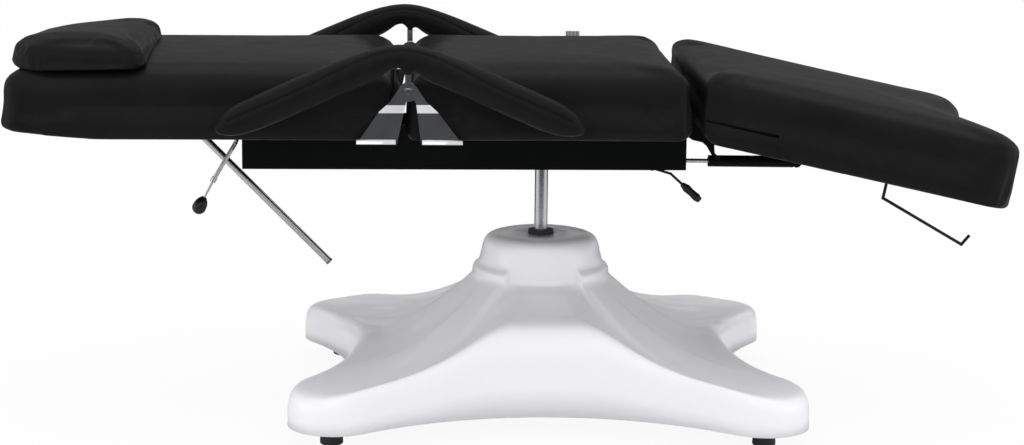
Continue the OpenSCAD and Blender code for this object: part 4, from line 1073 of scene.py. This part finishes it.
@dataclass
class Upholstery:
    """The three pads with their linings and staples, and the pillow."""

    lining_steps: tuple[int, int] = (40, 32)
    staples: Run = Run(Unit.STAPLE, spacing=0.032, length=0.011, width=0.0012)

    def pads(self) -> list[Pad]:
        """The pads' sizes; each starts where its solid does.

        Returns:
            The pads, not built yet.
        """
        back, seat, pillow = (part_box(name)[0][0] for name in ("back_cushion", "seat_cushion", "pillow"))
        boards = {name: (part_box(name)[0][0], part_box(name)[1][0]) for name in ("back_board", "seat_board")}
        hinge = LEG_HINGE[0]
        return [
            Pad("back_pad", "back_cushion", "back", back - 0.004, 0.709, 0.042, 0.020,
                underside=Underside.HEAD_RISE, board=boards["back_board"], head_room=0.004, seed=1.3),
            Pad("seat_pad", "seat_cushion", "bed", seat, 0.514, 0.020, 0.030,
                underside=Underside.ROUND_FOOT, board=boards["seat_board"], seed=4.9),
            LegPad("leg_pad", "leg_cushion", "leg", hinge + 0.004, 0.577, 0.014, 0.058, 0.024,
                   underside=Underside.ROUND_HEAD, board=(hinge + 0.054, hinge + 0.473), seed=8.2,
                   scallop=0.052, bevel=0.25),
            Pillow("pillow_pad", "pillow", "pillow", pillow, 0.244, width=0.500, thick=0.042,
                   bottom=BED_TOP + 0.0073, shoulder=0.019, crown=0.013, foot_edge=0.0105, shift=-0.045,
                   inset=0.0035, side_room=0.016, fill=0.7,
                   stuffing=Stuffing(voxel=0.005, pressure=5.0, cap=0.006)),
        ]

    def tilt(self, obj: Object) -> None:
        """Turn a flat piece of the leg section down about the leg hinge."""
        x, z = LEG_HINGE
        turn = Matrix.Translation((x, 0, z)) @ Matrix.Rotation(LEG_TILT, 4, "Y")
        obj.data.transform(turn @ Matrix.Translation((-x, 0, -z)))

    def build(self, palette: Palette) -> None:
        """Build and dress every pad, then tack a lining to its board.

        Args:
            palette: The finishes.
        """
        for pad in self.pads():
            obj = pad.build()
            trim = []
            if pad.board[1] > pad.board[0]:
                trim = [(self.tacks(pad), "steel_bright"), (self.lining(pad), "cover_black")]
            if pad.body == "leg":
                for piece in [obj] + [piece for piece, _ in trim]:
                    self.tilt(piece)
            palette.settle(obj, "cover_black", pad.body, pad.node)
            for piece, slot in trim:
                palette.settle(piece, slot, pad.body)

    def lining(self, pad: Pad) -> Object:
        """Black cloth that covers the underside of a pad's board."""
        rows, columns = self.lining_steps
        return cloth_sheet(f"{pad.name}_lining", np.array([
            [(x, y, pad.bottom - LINING / 2) for y in np.linspace(-BOARD_SIDE, BOARD_SIDE, columns)]
            for x in np.linspace(*pad.board, rows)]), LINING)

    def tacks(self, pad: Pad) -> Object:
        """Staples that hold the lining to the pad's board, all round it."""
        x0, x1, y = pad.board[0] + HEM, pad.board[1] - HEM, BOARD_SIDE - HEM
        corners = ((x0, -y), (x1, -y), (x1, y), (x0, y), (x0, -y))
        path = np.array([(*corner, pad.bottom - LINING) for corner in corners])
        return self.staples.along(f"{pad.name}_staples", [path])


@dataclass
class Armrests:
    """Two padded arches: a centre line from tip to tip with a boxy rounded section."""

    peak_x: float = BACK_HINGE[0] - 0.012
    peak_z: float = BED_TOP + 0.029
    side_y: float = 0.361
    width: float = 0.058
    thick: float = 0.059
    head_reach: float = 0.323
    foot_reach: float = 0.319
    fall: float = 0.122
    peak_share: float = 0.16
    tip_share: float = 0.2
    tip_least: float = 0.3
    stations: int = 80
    crowding: float = 1.35
    around: int = 40
    squareness: Pair = (0.62, 0.84)
    arch: float = 0.016
    arch_share: float = 0.12
    inset: float = 0.0012
    hold_half: float = 0.03
    fill: float = 0.9
    seam_shares: Pair = (0.34, 0.15)
    panel_share: float = 0.985
    seam_end: float = 0.92
    seam_steps: int = 90
    seam_press: Pair = (0.0026, 0.0030)
    pucker: Triple = (0.0005, 0.023, 0.008)
    gathers: Wave = Wave((62.0, 12.0, 9.0), 0.0016, 2.4)
    gathers_sink: float = 0.0012
    gathers_half: float = 0.10
    slow: Wave = Wave((14.0, 20.0, 14.0), 0.0008, 6.1)
    slow_sink: float = 0.0004
    bracket_room: float = 0.001
    bracket_width: float = 0.010
    thread_sunk: float = 0.0006
    thread: Run = Run(Unit.STITCH, spacing=0.0052, length=0.0034, width=0.0007)
    stuffing: Stuffing = field(default_factory=lambda: Stuffing(voxel=0.004, pressure=5.0, cap=0.0025))

    def centre(self, u: float) -> np.ndarray:
        """Centre line at a share of the reach, as x and z."""
        a, b = abs(u), self.peak_share
        drop = self.fall * (math.sqrt(a * a + b * b) - b) / (math.sqrt(1 + b * b) - b)
        reach = self.head_reach if u < 0 else self.foot_reach
        return np.array([self.peak_x + reach * u, self.peak_z - drop])

    def point(self, u: float, h: np.ndarray | float) -> tuple[np.ndarray, np.ndarray]:
        """Places x and z at heights across the centre line.

        Args:
            u: Share of the reach.
            h: The heights.

        Returns:
            The two coordinates.
        """
        c = self.centre(u)
        f = self.centre(u + 0.01) - self.centre(u - 0.01)
        f /= np.linalg.norm(f)
        return c[0] - f[1] * h, c[1] + f[0] * h

    def taper(self, u: float) -> float:
        """Share of the section's size near a tip."""
        into = max(0.0, abs(u) - (1 - self.tip_share)) / self.tip_share
        return max(self.tip_least, math.sqrt(max(0.0, 1 - into ** 2)))

    def cover(self, name: str, side: int) -> Object:
        """Loft, stuff and seam one armrest pad.

        Args:
            name: Name of the pad.
            side: -1 for the near one and 1 for the far one.

        Returns:
            The pad's object.
        """
        rings = []
        turns = np.radians(360 * (np.arange(self.around) + 0.5) / self.around)
        cy, cz = np.cos(turns), np.sin(turns)
        power = np.where(cz > 0, self.squareness[1], self.squareness[0])
        sy = np.sign(cy) * np.abs(cy) ** power
        sz = np.sign(cz) * np.abs(cz) ** power
        for i in range(self.stations + 1):
            even = 2 * i / self.stations - 1
            u = math.copysign(1 - (1 - abs(even)) ** self.crowding, even)
            k = self.taper(u)
            y = (self.width / 2 - self.inset) * (k + 1) / 2 * sy
            hollow = np.where(sz < 0, self.arch * dip(u, self.arch_share), 0.0)
            x, z = self.point(u, sz * ((self.thick / 2 - self.inset) * k - hollow))
            rings.append(np.column_stack([x, side * self.side_y + y, z]))
        tips = (self.centre(u) for u in (-1.0, 1.0))
        obj = ring_stack(name, np.array(rings), tuple(np.array([x, side * self.side_y, z]) for x, z in tips))
        self.stuffing.swell(obj, lambda p: np.where(
            (np.abs(p[:, 0] - self.peak_x) < self.hold_half) & (p[:, 2] < self.peak_z), 0.0, 1.0))
        self.seam(obj, side)
        return obj

    def seam_path(self, side: int, edge: int, sunk: float = 0.0) -> np.ndarray:
        """Line of one long seam.

        Args:
            side: -1 for the near armrest and 1 for the far one.
            edge: -1 or 1, the way that the seam's side panel faces.
            sunk: Distance inside the panel.

        Returns:
            The line's corners.
        """
        path = []
        peak, tip = self.seam_shares
        power = self.squareness[1]
        for u in np.linspace(-self.seam_end, self.seam_end, self.seam_steps):
            share = peak + (tip - peak) * float(smooth_step(abs(u), 0.05, 0.6))
            x, z = self.point(u, self.thick * share * self.taper(u))
            half = self.width / 2 * (self.taper(u) + 1) / 2 * (1 - (2 * share) ** (2 / power)) ** (power / 2)
            path.append((x, side * self.side_y + edge * (half * self.panel_share - sunk), z))
        return np.array(path)

    def seam(self, obj: Object, side: int) -> None:
        """Sink the long seams, gather the cover under the peak and draw it down onto the bracket.

        Args:
            obj: The pad.
            side: As in cover.
        """
        for edge in (-1, 1):
            p, n = read_both(obj)
            distance, along = path_distance(p, self.seam_path(side, edge))
            depth, width = self.seam_press
            proud, pitch, spread = self.pucker
            pucker = proud * np.sin(along * 2 * np.pi / pitch) * dip(distance, spread)
            write_points(obj, p + n * (pucker - dip(distance, width) * depth)[:, None])
        p, n = read_both(obj)
        near_peak = dip(p[:, 0] - self.peak_x, self.gathers_half) * smooth_step(-n[:, 2], -0.2, 0.4)
        gathers = (self.gathers.at(p, side) - self.gathers_sink) * near_peak
        p += n * (gathers + self.slow.at(p, side) - self.slow_sink)[:, None]
        low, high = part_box(f"armrest_bracket_{'near' if side < 0 else 'far'}")
        away = p[:, 0] - (low[0] + high[0]) / 2
        drawn = dip(away, self.bracket_width) * smooth_step(-n[:, 2], 0.0, 0.5)
        p[:, 2] += np.minimum(high[2] - self.bracket_room - p[:, 2], 0.0) * drawn
        write_points(obj, p)

    def build(self, palette: Palette) -> None:
        """Build and dress both pads, with the thread of their seams.

        Args:
            palette: The finishes.
        """
        for name, side in (("near", -1), ("far", 1)):
            pad = self.cover(f"armrest_pad_{name}", side)
            palette.settle(pad, "cover_black", f"arm_{name}", f"armrest_{name}")
            paths = [self.seam_path(side, edge, self.thread_sunk) for edge in (-1, 1)]
            palette.settle(self.thread.along(f"armrest_thread_{name}", paths), "cover_black", f"arm_{name}")


# ---------------------------------------------------------------------------------------------------------
# Base cover and trim


@dataclass
class BaseCover:
    """Moulded cover of the base: four lobes, a skirt, an apron and a stepped neck, as one thin shell.

    All its sizes are in millimetres and degrees, about the column.
    """

    lobe: Pair = (383.0, 335.0)
    lobe_r: float = 85.0
    waist: Pair = (360.0, 287.0)
    wall: float = 4.0
    low: float = 36.0
    top: float = 322.0
    neck_r: float = 110.0
    hole_r: float = 18.0
    tops: Triple = (105.0, 130.0, 206.0)
    leans: Triple = (16.0, 20.0, 50.0)
    powers: Triple = (2.5, 1.4, 1.5)
    edge_r: float = 32.0
    skirt_round: float = 0.55
    side_flat: float = 14.0
    side_fall: float = 33.0
    apron_foot: Pair = (131.0, 243.0)
    panel_edge: Pair = (32.1, 33.5)
    panel_press: float = 12.0
    panel_fade: float = 0.22
    notch: Pair = (70.0, 78.0)
    notch_reach: float = 400.0
    columns: int = 400

    def __post_init__(self) -> None:
        """Work out the arcs that join the lobes, and where each lobe meets them."""
        (along, across), (end, side) = self.lobe, self.waist
        self.leg_dir = math.degrees(math.atan2(across, along))

        def hollow(waist: float, near: float, far: float) -> float:
            """Radius of the arc that touches two lobes and the waist."""
            a = waist - near
            return (a * a + far * far - self.lobe_r ** 2) / (2 * (self.lobe_r - a))

        self.end_r = hollow(end, along, across)
        self.side_r = hollow(side, across, along)
        self.end_turn = math.degrees(math.atan2(across, end + self.end_r - along))
        self.side_turn = math.degrees(math.atan2(along, side + self.side_r - across))

    def reach(self, degrees: float) -> float:
        """Distance of the plan outline from the middle.

        Args:
            degrees: A direction of the first quarter.

        Returns:
            The distance.
        """
        ux, uy = math.cos(math.radians(degrees)), math.sin(math.radians(degrees))
        circles = ((self.lobe, self.lobe_r, 1.0), ((self.waist[0] + self.end_r, 0.0), self.end_r, -1.0),
                   ((0.0, self.waist[1] + self.side_r), self.side_r, -1.0))
        hits = []
        for (cx, cy), r, far in circles:
            along = cx * ux + cy * uy
            square = along * along - (cx * cx + cy * cy - r * r)
            if square <= 0:
                continue
            hit = along + far * math.sqrt(square)
            turn = math.degrees(math.atan2(hit * uy - self.lobe[1], hit * ux - self.lobe[0]))
            if far < 0:
                hits.append(hit)
            elif -self.end_turn - 0.5 <= turn <= 90 + self.side_turn + 0.5:
                return hit
        return min(hits)

    def column(self, degrees: float, t: float) -> np.ndarray:
        """One line of the shell from its rim to its hole.

        Args:
            degrees: Direction.
            t: Depth inside the outer face.

        Returns:
            Rows of distance from the middle and height.
        """
        q = degrees % 180
        q = q if q <= 90 else 180 - q
        side = q >= self.leg_dir
        share = (90 - q - self.side_flat) / self.side_fall if side else q / self.leg_dir
        leg = (1 - math.cos(math.pi * min(1.0, max(0.0, share)))) / 2

        def mixed(leg_value: float, end_value: float, side_value: float) -> float:
            """Value between the waist's and the leg's."""
            waist_value = side_value if side else end_value
            return waist_value + (leg_value - waist_value) * leg

        top, lean, power = mixed(*self.tops) - t, mixed(*self.leans), mixed(*self.powers)
        pressed = 1 - float(smooth_step(90 - q, *self.panel_edge))
        r1 = self.reach(q) - lean - self.edge_r
        foot_r, foot_h = self.apron_foot[0] - t, self.apron_foot[1] - t
        rows = []
        for a in np.radians(np.concatenate([[0, 8, 16], np.linspace(22, 90, 16)])):
            rows.append((r1 + (lean + self.edge_r) * math.cos(a) ** self.skirt_round - t * math.cos(a),
                         self.low + (top - self.low) * math.sin(a) ** self.skirt_round))
        for s in np.concatenate([np.linspace(0.96, 0.24, 19), np.linspace(0.21, 0.0, 10)]):
            step = self.panel_press * pressed * (1 - float(smooth_step(s, 0.0, self.panel_fade)))
            rows.append((foot_r + (r1 - foot_r) * s - step, top + (foot_h - top) * (1 - s) ** power))
        rows += [(r - pressed * p - (t if r > self.hole_r else 0), h - t) for r, h, p in self.tiers()]
        return np.array(rows)

    def tiers(self) -> list[Triple]:
        """The neck's steps from the apron up, as radius, height and how far a flat panel presses in."""
        neck, top = self.neck_r, self.top
        return [(130, 252, self.panel_press), (129.6, 257, 11.6), (127, 262, 10), (121, 266, 4.4),
                (119, 269, 2.5), (116.6, 274, 0.3), (116, 278, 0), (112.6, 290, 0), (112, 296, 0),
                (neck, top - 20, 0), (neck - 1.6, top - 14, 0), (neck - 5, top - 8.4, 0),
                (neck - 9, top - 4.8, 0), (neck - 14, top - 2.2, 0), (neck - 22, top, 0),
                (60, top, 0), (self.hole_r, top, 0)]

    def build(self, palette: Palette) -> None:
        """Skin the shell, cut the pedal's notch and dress it.

        Args:
            palette: The finishes.
        """
        rings = []
        turns = np.arange(self.columns) * 360 / self.columns
        away = np.stack([np.cos(np.radians(turns)), np.sin(np.radians(turns))], 1)
        for t, step in ((0.0, 1), (self.wall, -2)):
            lines = np.array([self.column(a, t) for a in turns])
            for k in range(lines.shape[1])[::step]:
                rings.append(np.column_stack([away * lines[:, k, :1], lines[:, k, 1]]) / 1000)
        post = np.array([POST_X, 0, 0])
        obj = ring_stack("base_cover", np.array(rings), None)
        write_points(obj, read_points(obj) + post)
        width, height = self.notch
        carve(obj, [post + np.array([x, y, z]) / 1000 for x in (-width / 2, width / 2)
                    for y in (self.waist[1] / 2, self.notch_reach) for z in (-10.0, height)])
        palette.settle(obj, "base_white", "base", "base_shell")


@dataclass
class PullTab:
    """A folded strip of woven tape sewn into the seat's far edge."""

    width: float = 0.028
    tape: float = 0.0007
    fold_r: float = 0.0010
    sway: float = 0.0004

    def build(self, palette: Palette) -> None:
        """Bend the strip over its fold and give it its thickness.

        Args:
            palette: The finishes.
        """
        low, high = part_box("pull_tab")
        r, foot, top = self.fold_r, low[2], high[2] - self.tape - self.fold_r
        y = (low[1] + high[1]) / 2
        leaf = foot + (top - foot) * np.linspace(0, 1, 14)
        line = [(y - r, z) for z in leaf]
        line += [(y - r * math.cos(a), top + r * math.sin(a)) for a in np.radians(np.linspace(20, 160, 8))]
        line += [(y + r, z) for z in leaf[::-1]]
        steps = np.linspace(0, 1, len(line))
        grid = np.array([
            [(x, p + self.sway * math.sin(9 * s + 3 * i), z) for (p, z), s in zip(line, steps)]
            for i, x in enumerate(np.linspace(low[0], low[0] + self.width, 8))])
        obj = cloth_sheet("pull_tab_tape", grid, self.tape)
        with_modifier(obj, "SUBSURF", levels=1, render_levels=1)
        palette.settle(obj, "tab_grey", "bed", "pull_tab")


@dataclass
class PlateLips:
    """Flared lips along the feet of the four hinge plates."""

    seat: Pair = (0.025, 0.0965)
    back: Pair = (-0.0915, -0.022)
    face_y: float = PAD_WIDTH / 2 + 0.005
    height: float = 0.0085
    flare: float = 0.0040
    root: float = 0.0003
    sheet: float = 0.0010
    edge: float = 0.0003

    def build(self, palette: Palette) -> None:
        """Build one piece for the seat's two plates and one for the back's.

        Args:
            palette: The finishes.
        """
        inner, outer = self.face_y - self.sheet, self.face_y + self.flare
        section = [(inner, 0.0), (outer, 0.0), (outer, self.sheet), (self.face_y + self.root, self.height),
                   (inner, self.height)]
        n = len(section)
        for node, body, span in (("seat_yoke", "bed", self.seat), ("back_yoke", "back", self.back)):
            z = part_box(node)[0][2]
            points, faces = [], []
            for side in (-1, 1):
                start = len(points)
                points += [(BACK_HINGE[0] + x, side * y, z + rise) for x in span for y, rise in section]
                prism = [tuple(range(start, start + n))[::-1], tuple(range(start + n, start + 2 * n))]
                prism += [(start + k, start + j, start + n + j, start + n + k)
                          for k, j in ((k, (k + 1) % n) for k in range(n))]
                faces += prism if side > 0 else [face[::-1] for face in prism]
            obj = mesh_object(f"{body}_plate_lips", points, faces, smooth=False)
            with_modifier(obj, "BEVEL", width=self.edge, segments=2)
            palette.settle(obj, "plate_chrome", body)


# ---------------------------------------------------------------------------------------------------------
# Studio


@dataclass(frozen=True)
class Lamp:
    """One rectangular lamp: its place, the point that it faces, its size and its watts."""

    name: str
    place: Triple
    target: Triple
    size: Pair
    power: float

    def build(self) -> None:
        """Add the lamp to the scene.

        The lamp is turned so that its -Z axis points from its place to its target.
        """
        data = bpy.data.lights.new(self.name, "AREA")
        data.shape = "RECTANGLE"
        data.size, data.size_y = self.size
        data.energy = self.power
        obj = link_object(self.name, data)
        obj.location = self.place
        obj.rotation_mode = "QUATERNION"
        obj.rotation_quaternion = (Vector(self.target) - Vector(self.place)).to_track_quat("-Z", "Y")


@dataclass
class Studio:
    """Camera at the photograph's angle, pale floor and soft light."""

    eye: Triple = (POST_X - 0.2310, -4.4229, 1.1892)
    pitch: float = 0.1895
    roll: float = 0.0031
    lens: float = 82.8
    shift: float = 0.0898
    world_level: float = 1.0
    floor_half: float = 16.0
    floor_glow: float = 0.93
    lamps: tuple[Lamp, ...] = (
        Lamp("over", (0.2, -0.4, 3.2), (0.0, 0.0, 0.5), (3.4, 2.0), 16.0),
        Lamp("front", (-1.0, -3.3, 2.3), (0.0, 0.0, 0.25), (2.6, 1.6), 8.0),
        Lamp("left", (-3.0, -1.0, 0.75), (0.06, 0.0, 0.25), (1.8, 0.8), 7.0),
        Lamp("right", (3.0, -1.0, 0.75), (0.06, 0.0, 0.25), (1.8, 0.8), 7.0),
    )
    # Each dark cloth has a shade and two opposite corners
    cloths: tuple[tuple[float, Triple, Triple], ...] = (
        (0.07, (-6.0, -1.6, 0.004), (6.0, -9.0, 0.004)),
        (0.07, (-6.0, -9.0, 0.004), (6.0, -9.0, 1.0)),
        (0.07, (-7.0, 6.5, 0.5), (7.0, 6.5, 1.4)),
        (0.07, (-7.0, 6.5, 2.0), (7.0, 6.5, 4.6)),
        (0.05, (-7.0, 0.9, 0.004), (7.0, 6.4, 0.004)),
    )

    def camera(self) -> None:
        """Place the camera."""
        data = bpy.data.cameras.new("camera")
        data.lens, data.sensor_width, data.shift_x = self.lens, 36.0, self.shift
        data.clip_start, data.clip_end = 0.05, 60.0
        obj = link_object("camera", data)
        obj.matrix_world = (Matrix.Translation(self.eye) @ Matrix.Rotation(math.pi / 2 - self.pitch, 4, "X")
                            @ Matrix.Rotation(self.roll, 4, "Z"))
        bpy.context.scene.camera = obj

    def world(self) -> None:
        """White surroundings at a plain level."""
        world = bpy.data.worlds.new("studio")
        world.use_nodes = True
        world.node_tree.nodes.clear()
        sky = add_node(world.node_tree, "ShaderNodeBackground",
                       {"Color": (1.0, 1.0, 1.0, 1.0), "Strength": self.world_level})
        add_node(world.node_tree, "ShaderNodeOutputWorld", {"Surface": sky.outputs[0]})
        bpy.context.scene.world = world

    def floor(self) -> None:
        """Pale floor that shows nearly white to the camera and keeps a faint shadow."""
        half = self.floor_half
        obj = quad("floor", (-half, -half, 0.0), (half, half, 0.0))
        sheet = NodeSheet("floor_pale")
        sheet.base(Base_Color=(0.9, 0.9, 0.9, 1.0), Roughness=0.9, Specular_IOR_Level=0.0)
        seen = sheet.add("ShaderNodeLightPath").outputs["Is Camera Ray"]
        share = sheet.add("ShaderNodeMath", {0: seen, 1: self.floor_glow}, operation="MULTIPLY")
        glow = sheet.add("ShaderNodeEmission")
        mix = sheet.add("ShaderNodeMixShader", {"Fac": share.outputs[0], 1: sheet.shader.outputs[0],
                                                2: glow.outputs[0]})
        fill_inputs(sheet.tree, sheet.out, {"Surface": mix.outputs[0]})
        put_material(obj, sheet.material)

    def flags(self) -> None:
        """Dark cloths before the table, behind the camera and behind the table, which only gloss mirrors."""
        for index, (shade, low, high) in enumerate(self.cloths):
            obj = quad(f"flag_{index}", low, high)
            sheet = NodeSheet(obj.name)
            sheet.base(Base_Color=(shade, shade, shade, 1.0), Roughness=1.0, Specular_IOR_Level=0.0)
            put_material(obj, sheet.material)
            obj.visible_camera = obj.visible_diffuse = obj.visible_shadow = obj.visible_transmission = False

    def build(self) -> None:
        """Set up everything that isn't the object."""
        self.camera()
        self.world()
        self.floor()
        self.flags()
        for lamp in self.lamps:
            lamp.build()
        bpy.context.scene.view_settings.view_transform = "Standard"


def main() -> None:
    """Build the table's looks in order."""
    logging.basicConfig(level=logging.INFO, format="%(name)s: %(message)s")
    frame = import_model()
    Studio().build()
    palette = Palette()
    palette.dress(frame["record"], frame["nodes"])
    for section in (Upholstery(), Armrests(), BaseCover(), PullTab(), PlateLips()):
        section.build(palette)


if __name__ == "__main__":
    main()
